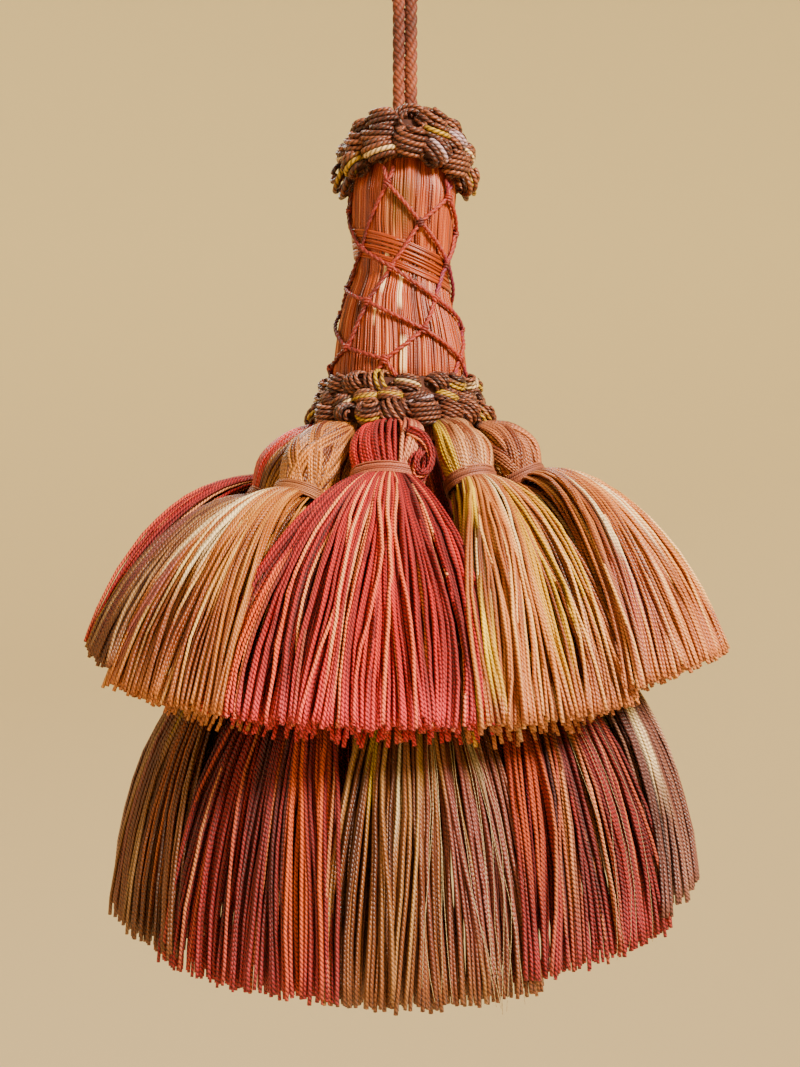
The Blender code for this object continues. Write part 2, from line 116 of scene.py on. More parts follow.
bowl_paint = bpy.data.materials.new("bowl_paint")
bowl_paint.use_nodes = True
bowl_tree = bowl_paint.node_tree
bowl_spot = bowl_tree.nodes.new("ShaderNodeNewGeometry")
bowl_height = bowl_tree.nodes.new("ShaderNodeSeparateXYZ")
bowl_tree.links.new(bowl_spot.outputs["Position"], bowl_height.inputs["Vector"])
bowl_shade_ramp = bowl_tree.nodes.new("ShaderNodeMapRange")  # painted shade: a little darker toward the floor
bowl_shade_ramp.data_type = "FLOAT_VECTOR"
bowl_tree.links.new(bowl_height.outputs["Z"], bowl_shade_ramp.inputs["Vector"])
ends = ((FLOOR_Z,) * 3, (BOWL_SHADE_TOP_Z,) * 3, *(linear(*tone) for tone in BOWL_SHADE_TONES))
for socket, end in zip(bowl_shade_ramp.inputs[7:11], ends):  # its vector sockets: from, from, to, to
    socket.default_value = tuple(end)
bowl_tree.links.new(bowl_shade_ramp.outputs["Vector"], bowl_tree.nodes["Principled BSDF"].inputs["Base Color"])
bowl_tree.nodes["Principled BSDF"].inputs["Roughness"].default_value = 0.95
bowl_profile = [(0, FLOOR_Z), (BOWL_RADIUS - BOWL_CORNER, FLOOR_Z)]
for step in range(1, BOWL_CORNER_STEPS + 1):
    turn = math.radians(90) * step / BOWL_CORNER_STEPS
    bowl_profile.append((BOWL_RADIUS - BOWL_CORNER + BOWL_CORNER * math.sin(turn),
                         FLOOR_Z + BOWL_CORNER * (1 - math.cos(turn))))
bowl_profile.append((BOWL_RADIUS, BOWL_TOP))
smooth_piece("bowl", turned_shape(bowl_profile, 64), bowl_paint, inwards=True)

world = bpy.data.worlds.new("room")
world.use_nodes = True
backlight = world.node_tree.nodes["Background"]
backlight.inputs["Color"].default_value = (1.0, 0.93, 0.82, 1)
backlight.inputs["Strength"].default_value = 0.42
bpy.context.scene.world = world

LAMPS = rows_of("name at size watts tint", (
    ("key", (0.54, -0.58, 0.43), 0.22, 30.0, (1, 0.87, 0.72)),
    ("left_fill", (-0.75, -0.55, 0.10), 0.6, 2.0, (1, 0.92, 0.84)),
    ("back_fill", (-0.30, 0.85, 0.55), 0.6, 8.0, (1, 0.93, 0.84)),
))
for lamp in LAMPS:
    light = bpy.data.lights.new(lamp["name"], "AREA")
    light.size = lamp["size"]
    light.energy = lamp["watts"]
    light.color = lamp["tint"]
    holder = bpy.data.objects.new(lamp["name"], light)
    holder.location = lamp["at"]
    aim = Vector((0, 0, -0.09)) - Vector(lamp["at"])
    holder.rotation_euler = aim.to_track_quat("-Z", "Y").to_euler()
    bpy.context.collection.objects.link(holder)


# Hanging cord
# One cord of three plies, doubled: it runs up from the neck, round a small eye just above the
# photo and back down, the two legs side by side. Rose-brown cotton.
CORD_DIAMETER = 1.7
CORD_LEG_X = 0.89
CORD_FOOT_Z = -27.2
CORD_CROTCH_Z = -10.0
CORD_EYE_RADIUS = 3.5
CORD_HANDLE = 2.6
CORD_PLY_RADIUS = 0.56
CORD_PLY_OFFSET = 0.44
CORD_TURN = 5.4  # mm for one turn of the plies
CORD_TONES = ((78, 34, 22), (112, 54, 38), (142, 78, 56))


class Socket:
    """A socket of a finish, with its arithmetic written as plain Python."""

    def __init__(self, finish, socket):
        self.finish = finish
        self.socket = socket

    def maths(self, operation, first, second=0.0):
        return self.finish.add("ShaderNodeMath", {"operation": operation}, {0: first, 1: second})["Value"]

    def __add__(self, other):
        return self.maths("ADD", self, other)

    def __radd__(self, other):
        return self.maths("ADD", other, self)

    def __sub__(self, other):
        return self.maths("SUBTRACT", self, other)

    def __rsub__(self, other):
        return self.maths("SUBTRACT", other, self)

    def __mul__(self, other):
        return self.maths("MULTIPLY", self, other)

    def __rmul__(self, other):
        return self.maths("MULTIPLY", other, self)

    def __pow__(self, other):
        return self.maths("POWER", self, other)

    def __abs__(self):
        return self.maths("ABSOLUTE", self)

    def sine(self):
        return self.maths("SINE", self)


class Finish:
    """A material's node tree: one method adds any node, and sockets come out ready for maths."""

    def __init__(self, name):
        self.material = bpy.data.materials.new(name)
        self.material.use_nodes = True
        self.tree = self.material.node_tree
        self.shader = self.tree.nodes["Principled BSDF"]

    def add(self, kind, settings, inputs):
        made = self.tree.nodes.new(kind)
        for key, value in settings.items():
            setattr(made, key, value)
        for key, value in inputs.items():
            self.feed(made.inputs[key], value)
        return {output.name: Socket(self, output) for output in made.outputs if output.enabled}

    def feed(self, target, value):
        if isinstance(value, Socket):
            self.tree.links.new(value.socket, target)
        else:
            target.default_value = value


def yarn_finish(name, turn_mm, rough, sheen, groove_shade, relief):
    """Two-ply yarn: the dye laid on each strand with fine hairs, and painted shade between its plies.

    The plies turn once in turn_mm, the groove number says how dark the shade painted between them is, and
    relief is in mm.
    """
    finish = Finish(name)
    dyed = finish.add("ShaderNodeAttribute", {"attribute_name": "dye"}, {})["Color"]
    place = finish.add("ShaderNodeUVMap", {"uv_map": "lay"}, {})["UV"]
    apart = finish.add("ShaderNodeSeparateXYZ", {}, {"Vector": place})
    around, along = apart["X"], apart["Y"]
    ply = abs(((around * 2 + along * (2 / turn_mm)) * math.pi).sine())
    swell = ply ** 1.1
    lying = finish.add("ShaderNodeCombineXYZ", {}, {"X": around * 9 + along * 0.9, "Y": along * 0.35})
    hairs = finish.add("ShaderNodeTexNoise", {},
                       {"Vector": lying["Vector"], "Scale": 2.2, "Detail": 2.0})["Fac"]
    # painted shade between the plies, darkest where they meet; the hairs below are the yarn's grain
    shade = (1 - groove_shade) + swell * groove_shade
    shade = shade * (0.72 + hairs * 0.56)
    grey = finish.add("ShaderNodeCombineColor", {}, {"Red": shade, "Green": shade, "Blue": shade})["Color"]
    toned = finish.add("ShaderNodeMix", {"data_type": "RGBA", "blend_type": "MULTIPLY"},
                       {"Factor": 1.0, "A": dyed, "B": grey})["Result"]
    bump = finish.add("ShaderNodeBump", {}, {"Height": swell * 0.8 + hairs * 0.3, "Strength": 0.8,
                                             "Distance": relief * MM})["Normal"]
    finish.feed(finish.shader.inputs["Base Color"], toned)
    finish.feed(finish.shader.inputs["Roughness"], rough + (0.5 - hairs) * 0.3)
    finish.feed(finish.shader.inputs["Normal"], bump)
    finish.shader.inputs["Sheen Weight"].default_value = sheen
    finish.shader.inputs["Sheen Roughness"].default_value = 0.4
    finish.shader.inputs["Specular IOR Level"].default_value = 0.45
    return finish.material


def headings(paths):
    """The unit direction of travel at each point of paths (..., point, xyz)."""
    ahead = np.gradient(paths, axis=-2)
    return ahead / (np.linalg.norm(ahead, axis=-1, keepdims=True) + 1e-12)


def way_along(paths):
    """How far along its path each point lies."""
    steps = np.linalg.norm(np.diff(paths, axis=-2), axis=-1)
    return np.concatenate([np.zeros((*steps.shape[:-1], 1)), np.cumsum(steps, axis=-1)], axis=-1)


def lay_yarn(name, paths, radii, dyes, finish, node, sides=6):
    """Makes one mesh of yarn strands: paths (strand, point, xyz) and radii in mm, dyes linear."""
    paths = np.asarray(paths, dtype=float)
    strands, points = paths.shape[:2]
    radii = np.broadcast_to(radii, (strands, points))
    dyes = np.broadcast_to(dyes, (strands, points, 3))
    ahead = headings(paths)
    side = np.zeros_like(paths)
    helper = np.where(np.abs(ahead[:, :1, 2:3]) > 0.8, np.array([1.0, 0, 0]), np.array([0, 0, 1.0]))
    side[:, 0] = np.cross(ahead[:, 0], helper[:, 0])
    for i in range(points):
        carried = side[:, max(i - 1, 0)]
        carried = carried - np.sum(carried * ahead[:, i], axis=1, keepdims=True) * ahead[:, i]
        side[:, i] = carried / (np.linalg.norm(carried, axis=1, keepdims=True) + 1e-12)
    up = np.cross(ahead, side)
    angle = 2 * np.pi * np.arange(sides) / sides
    skin = paths[:, :, None] + radii[:, :, None, None] * (
        np.cos(angle)[:, None] * side[:, :, None] + np.sin(angle)[:, None] * up[:, :, None])
    length = way_along(paths) + np.random.default_rng(strands).uniform(0, 9, (strands, 1))

    number = np.arange(strands * points * sides).reshape(strands, points, sides)
    beside = np.roll(number, -1, axis=2)
    quads = np.stack([number[:, :-1], beside[:, :-1], beside[:, 1:], number[:, 1:]], axis=-1).reshape(-1)
    caps = np.concatenate([number[:, 0, ::-1], number[:, -1]], axis=1).reshape(-1)
    loops = np.concatenate([quads, caps])
    quad_count = quads.size // 4
    starts = np.concatenate([4 * np.arange(quad_count),
                             quads.size + sides * np.arange(2 * strands)])
    low = np.broadcast_to((np.arange(sides) / sides)[None, None], (strands, points - 1, sides))
    high = low + 1 / sides
    here = np.broadcast_to(length[:, :-1, None], low.shape)
    there = np.broadcast_to(length[:, 1:, None], low.shape)
    lay = np.stack([np.stack([low, here], -1), np.stack([high, here], -1),
                    np.stack([high, there], -1), np.stack([low, there], -1)], axis=3).reshape(-1, 2)
    lay = np.concatenate([lay, np.zeros((caps.size, 2))])

    mesh = bpy.data.meshes.new(name)
    mesh.vertices.add(skin.size // 3)
    mesh.vertices.foreach_set("co", (skin * MM).reshape(-1))
    mesh.loops.add(loops.size)
    mesh.loops.foreach_set("vertex_index", loops.astype(np.int32))
    mesh.polygons.add(starts.size)
    mesh.polygons.foreach_set("loop_start", starts.astype(np.int32))
    mesh.polygons.foreach_set("use_smooth", np.ones(starts.size, dtype=bool))
    mesh.update(calc_edges=True)
    mesh.uv_layers.new(name="lay").data.foreach_set("uv", lay.reshape(-1))
    colour = np.ones((strands, points, sides, 4))
    colour[..., :3] = dyes[:, :, None]
    mesh.color_attributes.new("dye", "FLOAT_COLOR", "POINT").data.foreach_set("color", colour.reshape(-1))
    mesh.materials.append(finish)
    piece = bpy.data.objects.new(name, mesh)
    bpy.context.collection.objects.link(piece)
    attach(piece, "root")
    if node:
        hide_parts(node)
    return piece


def blend_tones(tones, spot):
    """Colours along a list of tones at spots from 0 to 1."""
    table = np.array([dye(*tone) for tone in tones])
    place = np.clip(spot, 0, 1) * (len(table) - 1)
    return np.stack([np.interp(place, np.arange(len(table)), table[:, i]) for i in range(3)], axis=-1)


def bezier(start, handle_1, handle_2, end, t):
    s = 1 - t
    return s ** 3 * start + 3 * s * s * t * handle_1 + 3 * s * t * t * handle_2 + t ** 3 * end


def cord_route(points):
    """The cord's middle line in mm, from the left foot round the eye to the right foot."""
    side_z = -CORD_EYE_RADIUS + CORD_DIAMETER / 2
    leg = CORD_CROTCH_Z - CORD_FOOT_Z
    flank = math.hypot(CORD_EYE_RADIUS - CORD_LEG_X, side_z - CORD_CROTCH_Z) * 1.02
    total = 2 * (leg + flank + math.pi / 2 * CORD_EYE_RADIUS)
    route = []
    for step in range(points):
        share = step / (points - 1)
        way = min(share, 1 - share) * total
        if way <= leg:
            x, z = -CORD_LEG_X, CORD_FOOT_Z + way
        elif way <= leg + flank:
            t = (way - leg) / flank
            x = bezier(-CORD_LEG_X, -CORD_LEG_X, -CORD_EYE_RADIUS, -CORD_EYE_RADIUS, t)
            z = bezier(CORD_CROTCH_Z, CORD_CROTCH_Z + CORD_HANDLE, side_z - CORD_HANDLE, side_z, t)
        else:
            turn = min((way - leg - flank) / CORD_EYE_RADIUS, math.pi / 2)
            x, z = -CORD_EYE_RADIUS * math.cos(turn), side_z + CORD_EYE_RADIUS * math.sin(turn)
        route.append((x if share <= 0.5 else -x, 0.0, z))
    return np.array(route)


def ply_paths(route, plies, offset, turn_mm, phase=0.0):
    """Winds plies round a route: (ply, point, xyz)."""
    ahead = headings(route)
    across = np.cross(np.array([0.0, 1.0, 0.0]), ahead)
    across /= np.linalg.norm(across, axis=1, keepdims=True)
    above = np.cross(ahead, across)
    way = way_along(route)
    wound = []
    for ply in range(plies):
        turn = 2 * np.pi * (way / turn_mm + ply / plies) + phase
        wound.append(route + offset * (np.cos(turn)[:, None] * across + np.sin(turn)[:, None] * above))
    return np.array(wound)


chance = np.random.default_rng(5)
cord_line = cord_route(241)
cord_plies = ply_paths(cord_line, 3, CORD_PLY_OFFSET, CORD_TURN)
cord_shade = 0.5 + 0.35 * np.sin(np.linspace(0, 23, 241))[None] + np.array([[-0.1], [0.1], [0.0]])
cord_finish = yarn_finish("cord_yarn", turn_mm=1.2, rough=0.66, sheen=0.08, groove_shade=0.55, relief=0.10)
cord = lay_yarn("hanging_cord_plies", cord_plies, CORD_PLY_RADIUS, blend_tones(CORD_TONES, cord_shade),
                cord_finish, "hanging_cord", sides=10)


# Neck
# A turned core wound from top to bottom with fine satin thread, each thread beside the last, and
# tied at its waist by a few turns round. Terracotta, with a golden patch and a few pale threads.
NECK_ROWS = rows_of("z radius lean", (
    (-27.6, 3.2, 0.2),
    (-28.8, 5.2, 0.2),
    (-32.5, 6.4, 0.1),
    (-38.0, 7.6, -0.1),
    (-43.5, 7.4, -0.4),
    (-47.6, 7.0, -0.3),
    (-51.0, 6.9, -0.6),
    (-54.5, 7.8, -1.1),
    (-57.8, 8.8, -1.0),
    (-61.5, 9.5, -0.8),
    (-65.3, 9.9, -0.8),
    (-75.0, 9.3, -0.5),
))
NECK_THREADS = 230
NECK_THREAD_RADIUS = 0.19
NECK_TONES = ((62, 26, 16), (116, 50, 32), (150, 68, 44), (174, 86, 54), (218, 146, 106))
NECK_GOLD = (112, 74, 26)
NECK_CREAM = (250, 214, 170)
NECK_CREAM_THREADS = rows_of("azimuth from to", (  # degrees, and the heights of a pale stretch's ends
    (-19, -47.8, -53.6),
    (2, -51.5, -56.0),
    (-24, -55.5, -58.5),
    (3, -61.0, -65.5),
))
WAIST_TURNS = 16
WAIST_MIDDLE = -48.4
WAIST_HALF_HEIGHT = 1.9
WAIST_TILT = 2.7


def neck_at(z):
    """Radius and lean of the neck at heights in mm."""
    heights = [-row["z"] for row in NECK_ROWS]
    radius = np.interp(-np.asarray(z), heights, [row["radius"] for row in NECK_ROWS])
    lean = np.interp(-np.asarray(z), heights, [row["lean"] for row in NECK_ROWS])
    return radius, lean


def polar(azimuth, radius, z, lean=0.0):
    """Points at azimuths in radians from the front (-Y) towards +X."""
    azimuth, radius, z, lean = np.broadcast_arrays(azimuth, radius, z, lean)
    return np.stack([radius * np.sin(azimuth) + lean, -radius * np.cos(azimuth), z], axis=-1)


neck_z = np.concatenate([np.linspace(-27.8, -31, 5), np.linspace(-32.5, -74.8, 36)])
thread_azimuth = 2 * np.pi * np.arange(NECK_THREADS) / NECK_THREADS
thread_azimuth = thread_azimuth + chance.normal(0, 0.006, NECK_THREADS)
neck_radius, neck_lean = neck_at(neck_z)
sway = 0.012 * np.sin(neck_z[None] * 0.21 + chance.uniform(0, 6.3, (NECK_THREADS, 1)))
raised = chance.uniform(-0.12, 0.10, (NECK_THREADS, 1))
neck_paths = polar(thread_azimuth[:, None] + sway, neck_radius[None] - 0.05 + raised,
                   neck_z[None], neck_lean[None])
neck_shade = (0.52 + 0.19 * chance.standard_normal((NECK_THREADS, 1))
              + 0.06 * np.sin(3 * thread_azimuth[:, None] + 1.0)
              + 0.12 * np.sin(neck_z[None] * 0.34 + 11 * thread_azimuth[:, None]))
neck_dyes = blend_tones(NECK_TONES, neck_shade)
turned = np.degrees((thread_azimuth + np.pi) % (2 * np.pi) - np.pi)
patch = np.exp(-((turned[:, None] + 4) / 17) ** 4) * np.exp(-((neck_z[None] + 41.0) / 4.2) ** 4)
patch = patch * (0.45 + 0.55 * chance.random((NECK_THREADS, 1)))
neck_dyes = neck_dyes * (1 - patch[..., None]) + dye(*NECK_GOLD) * patch[..., None]
for pale in NECK_CREAM_THREADS:
    nearest = np.argsort(np.abs(turned - pale["azimuth"]))[:3]
    inside = (neck_z < pale["from"]) & (neck_z > pale["to"])
    neck_dyes[np.ix_(nearest, inside)] = dye(*NECK_CREAM)
neck_finish = yarn_finish("neck_thread", turn_mm=0.8, rough=0.34, sheen=0.06, groove_shade=0.22, relief=0.03)
lay_yarn("neck_winding", neck_paths, NECK_THREAD_RADIUS, neck_dyes, neck_finish, "neck", sides=4)


def speckled_finish(name, scale, dark, light, rough):
    """Plain yarn seen only between the threads: two of its dyes in fine speckles."""
    finish = Finish(name)
    place = finish.add("ShaderNodeTexCoord", {}, {})["Object"]
    grain = finish.add("ShaderNodeTexNoise", {}, {"Vector": place, "Scale": scale, "Detail": 2.0})["Fac"]
    tone = finish.add("ShaderNodeMix", {"data_type": "RGBA"},
                      {"Factor": grain, "A": (*dye(*dark), 1), "B": (*dye(*light), 1)})["Result"]
    finish.feed(finish.shader.inputs["Base Color"], tone)
    finish.shader.inputs["Roughness"].default_value = rough
    return finish.material


core_shape = turned_shape([((radius - 0.16) * MM, z * MM) for radius, z in zip(neck_radius, neck_z)], 48)
bmesh.ops.holes_fill(core_shape, edges=[edge for edge in core_shape.edges if edge.is_boundary], sides=0)
for vertex in core_shape.verts:
    vertex.co.x += float(neck_at(vertex.co.z / MM)[1]) * MM
core = smooth_piece("neck_core", core_shape,
                    speckled_finish("neck_core_cloth", 900.0, (92, 34, 22), (140, 60, 40), 0.85))
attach(core, "root")

waist_turn = np.linspace(0, WAIST_TURNS * 2 * np.pi, WAIST_TURNS * 30 + 1)
waist_z = (WAIST_MIDDLE + WAIST_HALF_HEIGHT * np.sin(np.linspace(-1.5, 1.5, waist_turn.size)) / np.sin(1.5)
           - WAIST_TILT * np.sin(waist_turn) + 0.25 * np.sin(waist_turn * 0.37))
waist_radius, waist_lean = neck_at(waist_z)
waist_path = polar(waist_turn, waist_radius + 0.27, waist_z, waist_lean)[None]
waist_shade = 0.45 + 0.16 * np.sin(waist_turn * 0.31) + 0.1 * np.sin(waist_turn * 1.7)
lay_yarn("waist_winding", waist_path, NECK_THREAD_RADIUS, blend_tones(NECK_TONES, waist_shade)[None],
         neck_finish, None, sides=5)


# Net over the neck
# Crimson two-ply thread carried round the neck in diamonds and knotted at every crossing. It is
# held by the collars above and below and stands a little off the waist.
NET_AROUND = 5
NET_DROOP = 2.8
NET_LIFT = 0.50
NET_PLY_RADIUS = 0.22
NET_PLY_OFFSET = 0.13
NET_POINTS = 150
NET_TURN_MM = 2.1
NET_TONES = ((76, 24, 24), (118, 42, 38), (150, 62, 52), (118, 42, 70))
NET_ROWS = rows_of("z turn tilt", (
    (-37.9, 54, 0.0),
    (-44.3, 55, 2.0),
    (-49.9, 60, 1.5),
    (-54.9, 77, 0.5),
    (-60.3, 94, 2.0),
    (-63.9, 96, 0.5),
))


def net_knot(column, row):
    """Azimuth and height of a knot. Columns count half diamonds, and rows run downwards."""
    line = NET_ROWS[row]
    azimuth = math.radians(line["turn"]) + math.pi * column / NET_AROUND
    droop = NET_DROOP * math.sin(azimuth) ** 2 * (1 - row / (len(NET_ROWS) - 1)) ** 2
    return azimuth, line["z"] + line["tilt"] * math.sin(azimuth) - droop


def knotted_coil(centre, out, up, half_wide, half_tall, half_deep, turns, points):
    """A little ball of wound thread: a coil round the axis up, fullest at its middle."""
    across = np.cross(up, out)
    turn = np.linspace(0, turns * 2 * np.pi, points)
    share = np.linspace(-0.93, 0.93, points)
    full = np.sqrt(np.clip(1 - share ** 2, 0.08, 1)) ** 0.75
    return (centre + np.cos(turn)[:, None] * full[:, None] * half_wide * across
            + np.sin(turn)[:, None] * full[:, None] * half_deep * out
            + share[:, None] * half_tall * up)


net_threads = []
net_tones_and_shade = []
net_knots = []
for start in range(0, 2 * NET_AROUND, 2):
    for step in (1, -1):
        spots = [net_knot(start + step * row, row) for row in range(len(NET_ROWS))]
        spots.insert(0, (spots[0][0] - 0.10 * step, spots[0][1] + 2.6))
        spots.append((spots[-1][0] + 0.16 * step, spots[-1][1] - 2.4))
        steps = np.linspace(0, len(spots) - 1, NET_POINTS)
        azimuths = np.interp(steps, range(len(spots)), [azimuth for azimuth, z in spots])
        heights = np.interp(steps, range(len(spots)), [z for azimuth, z in spots])
        radius, lean = neck_at(heights)
        off = NET_LIFT + 0.2 * np.exp(-((heights + 49) / 5) ** 2)
        route = polar(azimuths, radius + off + 0.12 * step, heights, lean)
        outwards = polar(azimuths, 1.0, 0.0)
        across = np.cross(headings(route), outwards)
        way = way_along(route)
        for ply in range(2):
            turn = 2 * np.pi * way / NET_TURN_MM + math.pi * ply
            wound = np.cos(turn)[:, None] * outwards + np.sin(turn)[:, None] * across
            net_threads.append(route + NET_PLY_OFFSET * wound)
            # painted light and shade, and dye: the azimuth's sine darkens the threads toward the left, away
            # from the key lamp, and lightens them toward the right, where their dye turns purple
            net_tones_and_shade.append(0.45 + 0.38 * np.sin(azimuths + 0.2)
                              + 0.18 * np.sin(heights * 0.5 + start + ply))
net_finish = yarn_finish("net_thread", turn_mm=0.8, rough=0.5, sheen=0.06, groove_shade=0.30, relief=0.04)
lay_yarn("net_threads", net_threads, NET_PLY_RADIUS, blend_tones(NET_TONES, np.array(net_tones_and_shade)), net_finish,
         "neck_net", sides=6)
for row in range(len(NET_ROWS)):
    for column in range(row % 2, 2 * NET_AROUND, 2):
        azimuth, z = net_knot(column, row)
        radius, lean = neck_at(z)
        centre = polar(azimuth, radius + NET_LIFT + 0.1, z, lean)
        out = polar(azimuth, 1.0, 0.0)
        lean_angle = chance.normal(0, 0.5)
        up = np.array([0, 0, 1.0]) * math.cos(lean_angle) + np.cross(out, [0, 0, 1.0]) * math.sin(lean_angle)
        net_knots.append(knotted_coil(centre, out, up, 0.50, 0.62, 0.42, 3, 31))
knot_shades = 0.3 + 0.2 * chance.standard_normal((len(net_knots), 1)) + np.zeros((1, 31))
lay_yarn("net_knots", net_knots, 0.2, blend_tones(NET_TONES, knot_shades), net_finish, None, sides=5)


# Knotted collars
# Crocheted rounds of brown variegated yarn: every knot is a few turns of thread pulled into a
# bobble. The upper one hides the cord's foot and the lower one the neck's foot.
COLLAR_TONES = ((38, 16, 12), (82, 42, 32), (124, 72, 54), (158, 100, 78), (206, 150, 126))
ACCENTS = {"gold": (196, 158, 30), "cream": (240, 208, 160), "lilac": (206, 176, 184), "": None}
# Lean and facing are how far a knot's turns lean sideways and face outwards, in degrees
UPPER_KNOTS = rows_of("azimuth z radius wide tall lean facing turns shade accent", (
    (5, -28.9, 7.0, 2.5, 2.2, 0, 90, 2.2, 0.62, ""),
    (-33, -28.6, 6.9, 2.7, 1.6, 16, 8, 4, 0.50, ""),
    (-31, -31.3, 8.3, 2.8, 1.5, -8, 14, 4, 0.45, ""),
    (-26, -33.5, 9.0, 2.6, 1.5, 24, 12, 4, 0.60, "cream"),
    (4, -32.4, 8.9, 2.4, 2.2, -12, 22, 5, 0.50, ""),
    (33, -28.6, 7.0, 2.4, 1.8, -20, 30, 4, 0.52, ""),
    (31, -31.2, 8.5, 2.2, 1.5, -10, 22, 4, 0.45, "gold"),
    (30, -33.7, 9.0, 2.3, 1.9, -48, 6, 5, 0.42, "lilac"),
    (57, -31.6, 8.5, 2.3, 1.7, -35, 14, 5, 0.50, "lilac"),
    (56, -34.9, 9.3, 2.5, 1.9, 8, 10, 5, 0.62, ""),
    (-60, -31.8, 8.6, 2.4, 1.8, -14, 16, 4, 0.52, ""),
    (-56, -34.9, 9.2, 2.3, 1.7, 40, 14, 4, 0.42, "gold"),
    (-84, -36.3, 9.6, 2.2, 2.3, 30, 60, 2.6, 0.40, "gold"),
    (82, -36.2, 9.6, 2.2, 2.2, -30, 40, 3, 0.55, ""),
    (-92, -32.6, 8.8, 2.4, 1.8, 10, 14, 5, 0.45, ""),
    (88, -32.4, 8.9, 2.4, 1.8, -25, 14, 5, 0.55, "cream"),
    (-72, -29.3, 7.0, 2.3, 1.6, 20, 14, 4, 0.48, ""),
    (70, -29.2, 7.0, 2.3, 1.6, -30, 14, 4, 0.55, ""),
))
LOWER_ROUNDS = rows_of("knots radius z wide tall deep first facing", (
    (17, 10.6, -67.3, 2.3, 1.7, 1.5, 5, 12),
    (18, 11.4, -69.6, 2.2, 1.3, 1.3, -6, 6),
    (20, 12.3, -71.9, 2.3, 2.0, 1.9, -3, 10),
))
UPPER_COLLAR_THREAD = 0.36
LOWER_COLLAR_THREAD = 0.28
UPPER_BED = ((4.0, -27.6), (6.0, -28.6), (7.6, -31.0), (8.0, -33.9), (7.2, -34.4), (6.0, -30.0))
LOWER_BED = ((9.8, -66.3), (10.8, -67.0), (11.4, -69.5), (12.4, -71.8), (12.0, -73.2), (10.0, -73.6))
COLLAR_POINTS = 85
CROWN_KNOTS = 8  # the innermost round of the upper collar, which closes on the cord's foot


def wound_knot(azimuth, z, radius, wide, tall, deep, lean, facing, turns):
    """A ball of wound thread round an axis that leans in the knot's face and may face outwards."""
    out = polar(azimuth, 1.0, 0.0)
    beside = np.array([math.cos(azimuth), math.sin(azimuth), 0.0])
    sideways, turned = math.radians(lean), math.radians(facing)
    axis = np.array([-math.sin(sideways) * math.cos(turned), math.sin(turned),
                     math.cos(sideways) * math.cos(turned)])
    first = np.cross(axis, [0.31, 0.77, -0.55])
    first /= np.linalg.norm(first)
    second = np.cross(axis, first)
    share = np.linspace(-0.97, 0.97, COLLAR_POINTS)
    full = np.sqrt(1 - share ** 2) ** 0.7
    turn = np.linspace(0, turns * 2 * np.pi, COLLAR_POINTS)
    around = np.cos(turn)[:, None] * first + np.sin(turn)[:, None] * second
    ball = share[:, None] * axis + full[:, None] * around
    return (polar(azimuth, radius, z, float(neck_at(z)[1])) + ball[:, :1] * wide * beside
            + ball[:, 1:2] * deep * out + ball[:, 2:] * tall * np.array([0, 0, 1.0]))


def knot_dyes(shade, accent):
    """One knot's dyes along its thread, with its accent on one or two of its turns."""
    way = np.linspace(0, 1, COLLAR_POINTS)
    waver = 0.22 * np.sin(way * chance.uniform(11, 22) + chance.uniform(0, 6))
    tones = blend_tones(COLLAR_TONES, shade + waver)
    if accent:
        begin = chance.uniform(0.25, 0.6)
        share = 1 / (1 + np.exp(-(way - begin) / 0.012)) / (1 + np.exp((way - begin - 0.24) / 0.012))
        tones = tones + (dye(*ACCENTS[accent]) - tones) * share[:, None]
    return tones


def collar_bed(name, rows, droop):
    """The inside of a collar, a ring turned under its knots, drooping at its left and right, in the yarn's
    darkest tones as painted shade between its knots.
    """
    bed = turned_shape([(radius * MM, z * MM) for radius, z in rows], 56, closed=True)
    for vertex in bed.verts:
        far = math.hypot(vertex.co.x, vertex.co.y)
        vertex.co.z -= droop * (vertex.co.x / far) ** 2 * (far / MM / 9) ** 2 * MM
        vertex.co.x += float(neck_at(vertex.co.z / MM)[1]) * MM
    piece = smooth_piece(name, bed, bed_yarn)
    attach(piece, "root")


collar_finish = yarn_finish("collar_yarn", turn_mm=1.6, rough=0.42, sheen=0.06, groove_shade=0.85, relief=0.18)
# painted shade: the collar yarn's darkest tones, seen only in the gaps between the knots
bed_yarn = speckled_finish("collar_bed_yarn", 1100.0, (30, 13, 9), (84, 44, 30), 0.9)
upper_knots = []
upper_dyes = []
for half_turn in (0, 180):
    for knot in UPPER_KNOTS:
        azimuth = math.radians(knot["azimuth"] + half_turn)
        upper_knots.append(wound_knot(azimuth, knot["z"], knot["radius"] - 0.4, knot["wide"] - 0.1,
                                      knot["tall"], 1.7, knot["lean"], knot["facing"], knot["turns"]))
        upper_dyes.append(knot_dyes(knot["shade"] * 0.85, knot["accent"]))
way = np.linspace(0, 1, COLLAR_POINTS)
for knot in range(CROWN_KNOTS):
    upper_knots.append(wound_knot(2 * math.pi * knot / CROWN_KNOTS, -27.6, 3.7, 1.7, 1.0, 1.5, -90, 0, 4))
    crown_shade = 0.38 + 0.06 * (knot % 3) + 0.2 * np.sin(way * 15 + knot)
    upper_dyes.append(blend_tones(COLLAR_TONES, crown_shade))
lay_yarn("upper_collar_knots", upper_knots, UPPER_COLLAR_THREAD, upper_dyes, collar_finish,
         "upper_collar", sides=7)
collar_bed("upper_collar_bed", UPPER_BED, 2.4)

